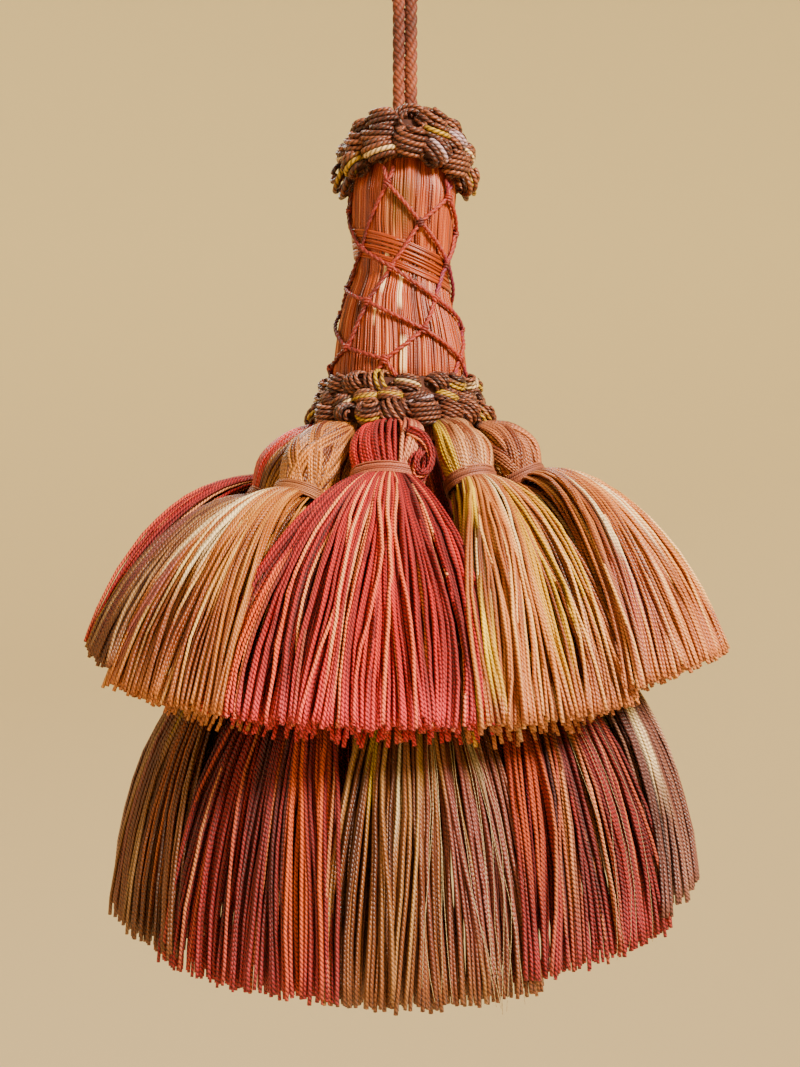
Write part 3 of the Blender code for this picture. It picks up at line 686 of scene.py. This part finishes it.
lower_knots = []
lower_dyes = []
for line in LOWER_ROUNDS:
    for knot in range(line["knots"]):
        azimuth = math.radians(line["first"]) + 2 * math.pi * (knot + chance.normal(0, 0.07)) / line["knots"]
        grow = 1 + chance.normal(0, 0.07)
        z = line["z"] + chance.normal(0, 0.22)
        lower_knots.append(wound_knot(azimuth, z, line["radius"] + chance.normal(0, 0.15),
                                      line["wide"] * grow - 0.28, line["tall"] * grow - 0.2, line["deep"],
                                      chance.normal(-12, 34), line["facing"] + chance.normal(0, 10),
                                      chance.uniform(4.6, 6.4)))
        accent = chance.choice(["", "", "", "gold", "gold", "cream", "lilac"])
        lower_dyes.append(knot_dyes(chance.uniform(0.3, 0.62), accent))
lay_yarn("lower_collar_knots", lower_knots, LOWER_COLLAR_THREAD, lower_dyes, collar_finish,
         "lower_collar", sides=6)
collar_bed("lower_collar_bed", LOWER_BED, 0.0)


# Small tassels
# A hank of about a hundred strands of pearl yarn folded over its tie, so the fold makes a looped
# head. The cut ends hang as a skirt. The upper ten are splayed by the ten that hang below them.
UPPER_RINGS = rows_of("radius z tilt half_width half_depth", (
    (12.3, -73.6, 72, 3.3, 1.2),
    (14.9, -75.5, 50, 4.4, 2.9),
    (16.9, -78.2, 37, 4.7, 3.8),
    (18.3, -81.3, 28, 3.9, 3.1),
))
LOWER_RINGS = rows_of("radius z tilt half_width half_depth", (
    (11.6, -88.5, 20, 1.7, 1.0),
    (14.3, -93.2, 15, 4.0, 3.6),
    (15.9, -98.0, 12, 4.7, 4.3),
    (17.2, -102.6, 20, 3.8, 3.1),
))
UPPER_BENDS = rows_of("out_1 down_1 out_2 down_2 far above dip fan", (
    (0.34, 0.05, 0.80, 0.46, 0.5, 1.6, 2.2, 2.1),
    (0.30, 0.22, 0.72, 0.62, -6.4, -1.8, 2.2, 2.1),
))
LOWER_BENDS = rows_of("out_1 down_1 out_2 down_2 far above dip fan", (
    (0.44, 0.04, 0.93, 0.42, 1.0, -0.8, 0.2, 1.4),
    (0.40, 0.16, 0.80, 0.55, -11.0, -2.6, 0.2, 1.4),
))
UPPER_TASSELS = rows_of("head from to radius z yarn", (
    (-8, -32, 13, 44.3, -111.6, "crimson"),
    (30, 13, 40, 44.9, -111.6, "brown"),
    (68, 40, 86, 46.4, -106.8, "brown"),
    (105, 86, 124, 45.8, -107.8, "mauve"),
    (142, 124, 160, 45.2, -110.0, "crimson"),
    (178, 160, 196, 45.0, -110.6, "brown"),
    (213, 196, 231, 45.2, -109.0, "tan"),
    (246, 231, 279, 46.1, -106.0, "crimson"),
    (281, 279, 299, 46.2, -107.2, "brown"),
    (313, 299, 328, 45.6, -111.0, "tan"),
))
LOWER_TASSELS = rows_of("head from to radius z yarn", (
    (2, -13, 23, 41.0, -146.4, "brown"),
    (36, 21, 55, 41.6, -142.6, "crimson"),
    (75, 55, 93, 42.0, -137.8, "mauve"),
    (111, 93, 129, 42.0, -140.4, "brown"),
    (147, 129, 165, 41.8, -141.4, "crimson"),
    (183, 165, 201, 41.6, -142.4, "tan"),
    (219, 201, 237, 41.8, -141.4, "crimson"),
    (255, 237, 271, 42.0, -141.0, "mauve"),
    (291, 271, 312, 42.0, -142.2, "brown"),
    (328, 312, 347, 41.6, -145.4, "crimson"),
))
# Upper tassels whose head hangs further out or down than its ring table says, in mm, and how much
# fuller their strands arch before they fall, as a share of that fall
UPPER_OFFSETS = {row["number"]: row for row in rows_of("number out down puff", (
    (0, 0.0, 0.4, 0.0),
    (1, 0.0, 0.8, 0.04),
    (2, 0.0, 0.0, 0.14),
    (3, 0.0, 0.0, 0.10),
    (6, 0.0, 0.0, 0.08),
    (7, 2.2, 0.0, 0.10),
    (8, 2.0, 3.4, 0.08),
    (9, 2.0, 2.6, 0.05),
))}
AS_TABLED = {"out": 0.0, "down": 0.0, "puff": 0.0}
SLIM_HEADS = {"upper_tassel_0": 1.18, "upper_tassel_1": 0.80, "upper_tassel_2": 0.86,
              "upper_tassel_8": 0.90, "upper_tassel_9": 0.94}
SLIM_AS_A_RULE = {"upper": 1.0, "lower": 0.8}
YARN_TONES = {
    "crimson": ((76, 6, 16), (114, 12, 28), (148, 24, 38), (180, 44, 48), (214, 96, 76), (238, 152, 108)),
    "brown": ((64, 32, 20), (116, 62, 40), (158, 94, 60), (190, 124, 80), (232, 180, 124)),
    "tan": ((90, 44, 24), (140, 78, 42), (180, 110, 62), (210, 150, 92), (248, 212, 148)),
    "mauve": ((54, 28, 27), (90, 52, 48), (122, 76, 68), (152, 106, 92), (198, 160, 136)),
}
# painted light on the cut ends: the tones the tips fade to
TIP_LIGHT_TONES = {"crimson": (230, 88, 96), "brown": (188, 122, 90), "tan": (200, 128, 88),
             "mauve": (158, 106, 100)}
YARN_MIDDLE = {"crimson": 0.36, "brown": 0.56, "tan": 0.50, "mauve": 0.48}
YARN_MOTTLE = {  # how much the dye differs from strand to strand, how much along one, and how often there
    "crimson": (0.10, 0.09, 1.0),
    "brown": (0.13, 0.19, 2.3),
    "tan": (0.13, 0.19, 2.3),
    "mauve": (0.11, 0.14, 1.8),
}
# Painted light and shade: each tassel's dyes are scaled lighter where the key lamp falls on it, at the right,
# and darker where it hangs in shade, the lower tier and the tassels at the left
TASSEL_LIGHT_AND_SHADE = {"upper_tassel_0": 1.22, "upper_tassel_1": 1.2, "upper_tassel_2": 1.25, "upper_tassel_8": 0.42,
              "lower_tassel_0": 0.52, "lower_tassel_1": 0.58, "lower_tassel_2": 0.85,
              "lower_tassel_8": 0.38, "lower_tassel_9": 0.62}
TIER_LIGHT_AND_SHADE = {"upper": 1.0, "lower": 0.8}
# The cream streaks on the brown and tan tassels are partly the yarn's pale stretches and partly painted satin
# highlights.
STREAK_TONES = {"yellow": (250, 214, 30), "gold": (206, 162, 34), "cream": (250, 226, 180),
                "orange": (206, 92, 44), "ember": (236, 112, 52), "peach": (246, 168, 124),
                "mauve": (152, 84, 76), "rust": (126, 62, 36), "amber": (214, 118, 40)}
STREAKS = {  # per tassel: where across the skirt, how wide, and from where to where down it
    "upper_tassel_0": (
        (0.30, 0.006, 0.00, 1.00, "peach"), (0.42, 0.008, 0.05, 0.85, "peach"),
        (0.47, 0.006, 0.30, 1.00, "peach"), (0.66, 0.007, 0.00, 1.00, "peach"),
        (0.73, 0.006, 0.10, 0.95, "peach"), (0.86, 0.006, 0.15, 1.00, "peach"),
        (0.10, 0.020, 0.60, 1.00, "orange"), (0.22, 0.015, 0.50, 1.00, "orange"),
    ),
    "upper_tassel_1": (
        (0.06, 0.05, 0.00, 0.34, "yellow"), (0.08, 0.04, 0.48, 0.74, "cream"),
        (0.08, 0.03, 0.74, 1.00, "yellow"), (0.40, 0.03, 0.10, 0.45, "cream"),
        (0.58, 0.10, 0.30, 0.86, "gold"), (0.84, 0.06, 0.20, 0.72, "gold"),
        (0.30, 0.03, 0.75, 1.00, "cream"), (0.75, 0.20, 0.90, 1.00, "rust"),
    ),
    "upper_tassel_2": (
        (0.14, 0.03, 0.25, 0.70, "cream"), (0.16, 0.10, 0.62, 0.95, "mauve"),
        (0.48, 0.03, 0.15, 0.60, "cream"), (0.78, 0.05, 0.30, 0.78, "gold"),
        (0.95, 0.04, 0.05, 0.35, "cream"), (0.86, 0.04, 0.45, 0.72, "cream"),
        (0.75, 0.28, 0.86, 1.00, "mauve"),
    ),
    "upper_tassel_7": (
        (0.90, 0.05, 0.00, 0.90, "peach"),
    ),
    "upper_tassel_8": (
        (0.06, 0.07, 0.15, 1.00, "gold"), (0.60, 0.16, 0.25, 0.95, "mauve"),
    ),
    "upper_tassel_9": (
        (0.10, 0.08, 0.08, 0.55, "cream"), (0.16, 0.12, 0.55, 0.95, "mauve"),
        (0.46, 0.05, 0.25, 0.60, "cream"), (0.30, 0.04, 0.02, 0.35, "cream"),
        (0.60, 0.40, 0.66, 1.00, "rust"),
    ),
    "lower_tassel_0": (
        (0.15, 0.06, 0.20, 0.54, "yellow"), (0.30, 0.02, 0.30, 0.60, "cream"),
        (0.44, 0.03, 0.20, 0.54, "yellow"), (0.60, 0.05, 0.30, 0.50, "peach"),
        (0.86, 0.03, 0.42, 0.74, "cream"), (0.75, 0.28, 0.55, 1.00, "mauve"),
    ),
    "lower_tassel_1": (
        (0.08, 0.08, 0.20, 0.80, "orange"), (0.34, 0.02, 0.30, 1.00, "peach"),
        (0.56, 0.02, 0.30, 1.00, "peach"), (0.78, 0.03, 0.30, 0.80, "peach"),
    ),
    "lower_tassel_2": (
        (0.16, 0.08, 0.30, 0.70, "cream"),
    ),
    "lower_tassel_8": (
        (0.30, 0.20, 0.10, 1.00, "mauve"), (0.66, 0.04, 0.20, 0.60, "gold"),
        (0.85, 0.10, 0.20, 0.90, "amber"),
    ),
    "lower_tassel_9": (
        (0.80, 0.04, 0.10, 1.00, "ember"), (0.92, 0.05, 0.10, 1.00, "ember"),
        (0.55, 0.015, 0.10, 1.00, "orange"), (0.70, 0.02, 0.10, 0.60, "peach"),
    ),
}
SKIRT_LAYERS = rows_of("depth strands", (  # how deep in the skirt, and how many strands in a mm of rim
    (0.02, 2.00),
    (0.08, 2.00),
    (0.17, 1.60),
    (0.36, 1.00),
    (0.68, 0.75),
    (0.97, 0.80),
))
LOWER_FILL = rows_of("depth strands", ((0.52, 0.75),))  # one more in the lower tier, against the light
PEARL_TURN_MM = 1.15
STRAND_RADIUS = 0.265
PINCH_FILL = 0.92  # how much of the pinch the strands fill
RIM_OVERLAP = 0.055  # how far a skirt reaches over its neighbours, as a share of its rim
CUT_UNEVEN = 0.33  # mm
STRAND_WANDER = 0.22
STRAND_KINK = 0.06
STRAY_DEPTH = 0.14  # paler strands near the outside that wander over the others
STRAY_SHARE = 0.075
STRAY_WANDER = 2.1
STRAY_LIFT = 0.35
TIP_LIGHT_FROM = 0.86  # where down a strand the painted light on the cut end begins
TIP_LIGHT_SHARE = 0.6
STRAND_POINTS = 15
STRAND_STEPS = np.append(np.linspace(0, 0.965, STRAND_POINTS - 1), 1)
HEAD_STRANDS = 54
CURL_STRANDS = 16
HEAD_CURLS = {"upper_tassel_0": (  # the way in mm of strands that curl out of the fold
    (0.4, -19.2, -74.9), (2.3, -19.6, -75.9), (3.3, -19.8, -78.2), (2.9, -20.2, -80.6),
    (1.5, -20.6, -80.9), (1.3, -20.7, -79.2), (2.1, -20.5, -78.0))}
TOUSLED_HEADS = {  # locks that slipped across a head: how many, from where to where round it, and their dye
    "upper_tassel_0": (
        (2, 0.55, 0.8, 0.15, (170, 70, 60), (232, 164, 130)),
    ),
    "upper_tassel_1": (
        (3, 2.3, 3.0, 0.20, (170, 128, 26), (236, 202, 50)),
        (6, 0.3, 2.2, 0.55, (130, 72, 48), (226, 172, 128)),
    ),
    "upper_tassel_2": (
        (7, 0.6, 3.2, 0.80, (112, 58, 42), (206, 136, 100)),
    ),
    "upper_tassel_8": (
        (8, 0.75, 1.9, 0.20, (150, 30, 36), (222, 92, 78)),
        (6, -0.6, 0.5, 0.90, (90, 46, 34), (196, 136, 84)),
    ),
    "upper_tassel_9": (
        (14, -0.4, 3.0, 1.50, (98, 46, 28), (210, 142, 88)),
    ),
}
LOCK_STRANDS = 5
tousle = np.random.default_rng(88)
SILKY_FLYAWAYS = {"lower_tassel_0": 13, "lower_tassel_1": 5}
SILKY_RADIUS = 0.032
BINDING_TURNS = 9
BINDING_RADIUS = 0.15
BINDING_HALF_HEIGHT = 0.9
BINDING_TONES = {"crimson": ((122, 60, 46), (184, 110, 88)), "brown": ((104, 58, 44), (166, 104, 82)),
                 "tan": ((124, 72, 48), (184, 124, 88)), "mauve": ((104, 66, 58), (158, 112, 98))}


def grid_corner(u, v):
    """Maps a square's point (-1 to 1) to the unit disc."""
    return u * np.sqrt(1 - v * v / 2), v * np.sqrt(1 - u * u / 2)


def level_axes(azimuth):
    """The level directions away from the big tassel's axis and round it."""
    return (np.array([math.sin(azimuth), -math.cos(azimuth), 0]),
            np.array([math.cos(azimuth), math.sin(azimuth), 0]))


def ring_point(row, azimuth, u, v):
    """A point of a head's ring. u runs round the big tassel, v away from its axis."""
    tilt = math.radians(row["tilt"])
    radius = row["radius"] + row["half_depth"] * v * math.cos(tilt)
    z = row["z"] + row["half_depth"] * v * math.sin(tilt)
    out, around = level_axes(azimuth)
    return (np.multiply.outer(radius, out) + np.multiply.outer(row["half_width"] * u, around)
            + np.multiply.outer(z, [0, 0, 1.0]))


def smooth_through(rows, count):
    """Catmull-Rom curves through rows (row, strand, xyz), as (strand, count, xyz)."""
    rows = np.concatenate([2 * rows[:1] - rows[1:2], rows, 2 * rows[-1:] - rows[-2:-1]])
    place = np.linspace(0, len(rows) - 3 - 1e-6, count)
    first = place.astype(int)
    t = (place - first)[:, None, None]
    a, b, c, d = (rows[first + i] for i in range(4))
    bend, twist = 2 * a - 5 * b + 4 * c - d, 3 * b - a - 3 * c + d
    return (0.5 * (2 * b + (c - a) * t + bend * t ** 2 + twist * t ** 3)).transpose(1, 0, 2)


def dye_strands(name, yarn, across, down, stray):
    """Variegated dye: neighbours nearly match, a few strands stand out, streaks lie where they show; with
    painted light and shade per tassel and painted light on the cut ends.
    """
    strands = across.size
    between, lengthwise, often = YARN_MOTTLE[yarn]
    spot = (YARN_MIDDLE[yarn] + 0.10 * np.sin(across * 9 + chance.uniform(0, 6))
            + 0.07 * np.sin(across * 31 + 2) + between * chance.standard_normal(strands))
    light = stray | (chance.random(strands) < 0.03)
    spot[light] = chance.uniform(0.72, 1.0, light.sum())
    along = lengthwise * np.sin(often * down[None] * chance.uniform(2, 6, (strands, 1))
                                + chance.uniform(0, 6.3, (strands, 1)))
    dyes = blend_tones(YARN_TONES[yarn], spot[:, None] + along)
    # painted light and shade: the tassel's dyes scaled by how lit or shaded it hangs
    deep = TASSEL_LIGHT_AND_SHADE.get(name.removesuffix("_head"), TIER_LIGHT_AND_SHADE[name.split("_")[0]])
    # painted light: a head lighter still, against the shade the collar casts on it
    deep = min(1.2 * deep + 0.2, 1.35) if name.endswith("_head") else deep
    dyes = dyes * deep
    for streak in rows_of("at width from to tone", STREAKS.get(name, ())):
        near = np.exp(-((across - streak["at"]) / streak["width"]) ** 4)
        near = near * (chance.random(strands) < 0.75)
        begin = streak["from"] + chance.normal(0, 0.05, (strands, 1))
        end = streak["to"] + chance.normal(0, 0.05, (strands, 1))
        inside = 1 / (1 + np.exp(-(down[None] - begin) / 0.02)) / (1 + np.exp((down[None] - end) / 0.02))
        share = (near[:, None] * inside)[..., None]
        # the streaks carry the same painted light and shade
        dyes = dyes * (1 - share) + dye(*STREAK_TONES[streak["tone"]]) * (0.4 + 0.6 * deep) * share
    # painted light: the cut ends paler toward their tips, standing for their lit, frayed fibres and lifting
    # the inner strands' tips out of their shade
    tip_light = np.clip((down - TIP_LIGHT_FROM) / (1 - TIP_LIGHT_FROM), 0, 1)[None, :, None] * TIP_LIGHT_SHARE
    return dyes + (dye(*TIP_LIGHT_TONES[yarn]) * deep - dyes) * tip_light


def hang_rings(tassel, rings):
    """A head's rings, moved out and down by what the table says, and least where it is fixed."""
    hung = []
    for i, row in enumerate(rings):
        share = i / (len(rings) - 1)
        hung.append(dict(row, radius=row["radius"] + share * tassel["out"],
                         z=row["z"] - share * tassel["down"]))
    return hung


def rim_height(tassels, azimuth):
    """The height of a tier's rim, running smoothly through its tassels' own heights."""
    middles = [math.radians(row["from"] + row["to"]) / 2 for row in tassels]
    return np.interp(azimuth, middles, [row["z"] for row in tassels], period=2 * math.pi)


def skirt_paths(tassels, tassel, rings, bends, across, depth, stray):
    """Strands from the pinch to the rim, in mm: (strand, point, xyz)."""
    azimuth = math.radians(tassel["head"])
    pinch = rings[-1]
    t = STRAND_STEPS[None]
    v = 1 - 2 * depth
    u, disc_v = grid_corner(2 * across - 1, v)
    root = ring_point(pinch, azimuth, PINCH_FILL * u, PINCH_FILL * disc_v)
    root_radius = np.hypot(root[:, 0], root[:, 1])
    root_azimuth = azimuth + np.arcsin(np.clip(PINCH_FILL * u * pinch["half_width"] / root_radius, -1, 1))
    root_z = root[:, 2]
    mix = {key: bends[0][key] + (bends[1][key] - bends[0][key]) * depth for key in bends[0]}
    longer = chance.normal(0, CUT_UNEVEN, across.size)
    low, high = math.radians(tassel["from"]), math.radians(tassel["to"])
    while low - azimuth > math.pi:
        low, high = low - 2 * math.pi, high - 2 * math.pi
    rim = (low + (high - low) * (across * (1 + 2 * RIM_OVERLAP) - RIM_OVERLAP)
           + chance.normal(0, 0.008, across.size))
    tip_radius = tassel["radius"] + mix["far"] + 0.25 * longer
    tip_z = ((rim_height(tassels, rim) + tassel["z"]) / 2 + mix["above"] - longer
             - bends[0]["dip"] * np.cos(rim) ** 2)
    reach = (tip_radius - root_radius)[:, None]
    fall = (tip_z - root_z)[:, None]
    radius = bezier(root_radius[:, None], root_radius[:, None] + mix["out_1"][:, None] * reach,
                    root_radius[:, None] + mix["out_2"][:, None] * reach, tip_radius[:, None], t)
    z = bezier(root_z[:, None], root_z[:, None] + (mix["down_1"][:, None] - tassel["puff"]) * fall,
               root_z[:, None] + (mix["down_2"][:, None] - 0.6 * tassel["puff"]) * fall, tip_z[:, None], t)
    spread = 1 - (1 - t) ** bends[0]["fan"]
    turned = root_azimuth[:, None] + spread * (rim - root_azimuth)[:, None]
    inward = 5 * depth[:, None]
    sway = t * (0.7 * np.sin(t * 5 + across[:, None] * 13 + azimuth * 3 + inward)
                + 0.4 * np.sin(t * 9 - across[:, None] * 29 + inward))
    loose = np.where(stray[:, None], STRAY_WANDER, STRAND_WANDER)
    own = loose * t ** 1.2 * (1.25 - t) * np.sin(t * chance.uniform(3, 9, (across.size, 1))
                                                + chance.uniform(0, 6.3, (across.size, 1)))
    turned = turned + (sway + own) / radius
    radius = radius + (0.1 + 0.15 * loose) * t * np.sin(t * chance.uniform(3, 8, (across.size, 1))
                                        + chance.uniform(0, 6.3, (across.size, 1)))
    radius = radius + STRAY_LIFT * stray[:, None] * np.clip(3 * t, 0, 1)
    kinked = chance.normal(0, STRAND_KINK, (2, *radius.shape)) * np.clip(4 * t * (1.15 - t), 0, 1)
    return polar(turned + kinked[0] / radius, radius + kinked[1], z)


def tousled_locks(rings, azimuth, row):
    """Locks that lie across a head's own strands, and their dyes, both as (strand, point, 3)."""
    lock = np.repeat(tousle.uniform(row["from"], row["to"], row["locks"]), LOCK_STRANDS)
    lean = np.repeat(tousle.normal(0, row["lean"], row["locks"]), LOCK_STRANDS)
    beside = np.tile(np.arange(LOCK_STRANDS) * 0.10, row["locks"])
    lift = np.repeat(tousle.uniform(0.03, 0.17, row["locks"]), LOCK_STRANDS)
    rows = []
    for i, ring in enumerate(rings[::-1]):
        share = i / (len(rings) - 1)
        proud = 0.97 + lift * math.sin(math.pi * share) + tousle.normal(0, 0.015, lock.size)
        turned = lock + beside + lean * (share - 0.4) + tousle.normal(0, 0.03, lock.size)
        rows.append(ring_point(ring, azimuth, proud * np.cos(turned), proud * np.sin(turned)))
    paths = smooth_through(np.array(rows), STRAND_POINTS)
    lightness = np.clip(tousle.uniform(0.0, 0.9, lock.size)[:, None]
                        + 0.3 * np.sin(6 * STRAND_STEPS[None] + lock[:, None] * 9), 0, 1)[..., None]
    return paths, dye(*row["dark"]) + (dye(*row["light"]) - dye(*row["dark"])) * lightness


def head_paths(rings, azimuth, stem):
    """A looped head's strands from the pinch up to the fold, and on to its stem: (strand, point, xyz)."""
    theta = 2 * np.pi * (np.arange(HEAD_STRANDS) + chance.normal(0, 0.2, HEAD_STRANDS)) / HEAD_STRANDS
    lump = chance.uniform(0, 6.3, 3)
    rows = []
    for i, row in enumerate(rings[::-1]):
        lumps = (0.05 * np.sin(2 * theta + lump[0]) + 0.05 * np.sin(5 * theta + lump[1] + i)
                 + chance.normal(0, 0.022, HEAD_STRANDS))
        slack = 1 - 0.30 / row["half_depth"] + (i > 0) * lumps
        slipped = 0.10 * np.sin(3 * theta + lump[2]) + chance.normal(0, 0.05, HEAD_STRANDS)
        turned = theta + (i > 0) * slipped + 0.07 * i
        rows.append(ring_point(row, azimuth, slack * np.cos(turned), slack * np.sin(turned)))
    if stem is not None:
        rows.append(ring_point(stem, azimuth, np.cos(theta), np.sin(theta)))
    return smooth_through(np.array(rows), STRAND_POINTS)


def flyaway_paths(tassels, tassel, rings, bends, count):
    """Silky fibres that float off the outside of a skirt: (strand, point, xyz)."""
    square = STRAND_STEPS ** 2
    fly = skirt_paths(tassels, tassel, rings, bends, chance.uniform(0.5, 0.98, count), np.zeros(count),
                      np.zeros(count, dtype=bool))
    curl = square * np.sin(STRAND_STEPS * chance.uniform(4, 11, (count, 1))
                           + chance.uniform(0, 6.3, (count, 1)))
    return polar(np.arctan2(fly[..., 0], -fly[..., 1]) + 0.035 * curl,
                 np.hypot(fly[..., 0], fly[..., 1]) + 0.4 + square * chance.uniform(0.1, 2.2, (count, 1)),
                 fly[..., 2] + square * chance.uniform(-1, 3.5, (count, 1)))


def binding_path(pinch, azimuth, number):
    """The thread wound round a head's pinch: its turn and its place at each point."""
    tilt = math.radians(pinch["tilt"])
    out, around = level_axes(azimuth)
    deep = out * math.cos(tilt) + np.array([0, 0, math.sin(tilt)])
    axis = -out * math.sin(tilt) + np.array([0, 0, math.cos(tilt)])
    centre = out * pinch["radius"] + np.array([0, 0, pinch["z"]])
    turn = np.linspace(0, BINDING_TURNS * 2 * np.pi, BINDING_TURNS * 18 + 1)
    height = (np.linspace(BINDING_HALF_HEIGHT, -BINDING_HALF_HEIGHT, turn.size)
              + 0.22 * np.sin(turn * 0.45 + number))
    swell = 0.50 + 0.12 * np.cos(height * 1.2)
    return turn, (centre + np.cos(turn)[:, None] * around * (pinch["half_width"] + swell)[:, None]
                  + np.sin(turn)[:, None] * deep * (pinch["half_depth"] + swell)[:, None]
                  + height[:, None] * axis)


def make_tassel(tier, number, tassels, offsets, rings, bends, stem):
    """One small tassel: its skirt and looped head in one mesh, and the thread that binds it."""
    tassel = dict(tassels[number], **offsets.get(number, AS_TABLED))
    name = f"{tier}_tassel_{number}"
    slim = SLIM_HEADS.get(name, SLIM_AS_A_RULE[tier])
    rings = [dict(row, half_width=row["half_width"] * slim) for row in hang_rings(tassel, rings)]
    azimuth = math.radians(tassel["head"])
    across = []
    depth = []
    for layer in SKIRT_LAYERS + LOWER_FILL * (tier == "lower"):
        count = round(layer["strands"] * math.radians(tassel["to"] - tassel["from"]) * tassel["radius"])
        across.append((np.arange(count) + 0.5 + chance.normal(0, 0.16, count)) / count)
        depth.append(np.clip(layer["depth"] + chance.normal(0, 0.035, count), 0, 1))
    across, depth = np.concatenate(across), np.concatenate(depth)
    down = STRAND_STEPS
    stray = (depth < STRAY_DEPTH) & (chance.random(across.size) < STRAY_SHARE)
    skirt = skirt_paths(tassels, tassel, rings, bends, across, depth, stray)
    skirt_taper = 0.62 + 0.38 * np.clip(down * 4, 0, 1)
    skirt_radii = STRAND_RADIUS * skirt_taper * chance.normal(1, 0.05, (across.size, 1))
    skirt_dyes = dye_strands(name, tassel["yarn"], across, down, stray)

    head = head_paths(rings, azimuth, stem)
    head_taper = np.interp(np.linspace(0, 1, STRAND_POINTS), (0, 0.3, 0.7, 1), (0.9, 1.15, 1.0, 0.45))
    head_radii = STRAND_RADIUS * head_taper[None] * np.ones((HEAD_STRANDS, 1))
    head_dyes = dye_strands(name + "_head", tassel["yarn"], np.arange(HEAD_STRANDS) / HEAD_STRANDS,
                            down * 0.4, chance.random(HEAD_STRANDS) < 0.08)
    if name in HEAD_CURLS:
        bundle = np.array(HEAD_CURLS[name])[:, None] + chance.normal(0, 0.42, (1, CURL_STRANDS, 3))
        bundle = bundle + chance.normal(0, 0.10, bundle.shape)
        head = np.concatenate([head, smooth_through(bundle, STRAND_POINTS)])
        curl_radii = np.full((CURL_STRANDS, STRAND_POINTS), 0.75 * STRAND_RADIUS)
        head_radii = np.concatenate([head_radii, curl_radii])
        head_dyes = np.concatenate([head_dyes, head_dyes[:CURL_STRANDS] * 0.8])
    for row in rows_of("locks from to lean dark light", TOUSLED_HEADS.get(name, ())):
        locks, lock_dyes = tousled_locks(rings, azimuth, row)
        head, head_dyes = np.concatenate([head, locks]), np.concatenate([head_dyes, lock_dyes])
        head_radii = np.concatenate([head_radii, STRAND_RADIUS * head_taper[None] * np.ones((len(locks), 1))])
    flying = SILKY_FLYAWAYS.get(name, 0)
    fly = flyaway_paths(tassels, tassel, rings, bends, flying)
    fly_dyes = np.broadcast_to(dye(*STREAK_TONES["cream"]), fly.shape) * 0.8
    lay_yarn(name + "_yarn", np.concatenate([skirt, head, fly]),
             np.concatenate([skirt_radii, head_radii, np.full((flying, STRAND_POINTS), SILKY_RADIUS)]),
             np.concatenate([skirt_dyes, head_dyes, fly_dyes]), yarn_materials[tassel["yarn"]],
             name, sides=4)

    turn, path = binding_path(rings[-1], azimuth, number)
    tones = blend_tones(BINDING_TONES[tassel["yarn"]], 0.5 + 0.4 * np.sin(turn * 0.17 + number))
    lay_yarn(f"{tier}_binding_{number}_thread", path[None], BINDING_RADIUS, tones[None],
             yarn_materials["binding"], f"{tier}_binding_{number}", sides=5)


yarn_materials = {row["yarn"]: yarn_finish(row["name"], *row["look"]) for row in rows_of("yarn name look", (
    ("crimson", "crimson_yarn", (PEARL_TURN_MM, 0.64, 0.04, 0.85, 0.15)),
    ("brown", "brown_yarn", (PEARL_TURN_MM, 0.40, 0.05, 0.62, 0.10)),
    ("tan", "tan_yarn", (PEARL_TURN_MM, 0.38, 0.05, 0.55, 0.09)),
    ("mauve", "mauve_yarn", (PEARL_TURN_MM, 0.38, 0.06, 0.75, 0.13)),
    ("binding", "binding_thread", (0.8, 0.50, 0.06, 0.40, 0.05)),
))}
for number in range(len(UPPER_TASSELS)):
    make_tassel("upper", number, UPPER_TASSELS, UPPER_OFFSETS, UPPER_RINGS, UPPER_BENDS, None)
lower_stem = {"radius": 5.6, "z": -75.4, "tilt": 0, "half_width": 1.2, "half_depth": 0.6}
for number in range(len(LOWER_TASSELS)):
    make_tassel("lower", number, LOWER_TASSELS, {}, LOWER_RINGS, LOWER_BENDS, lower_stem)
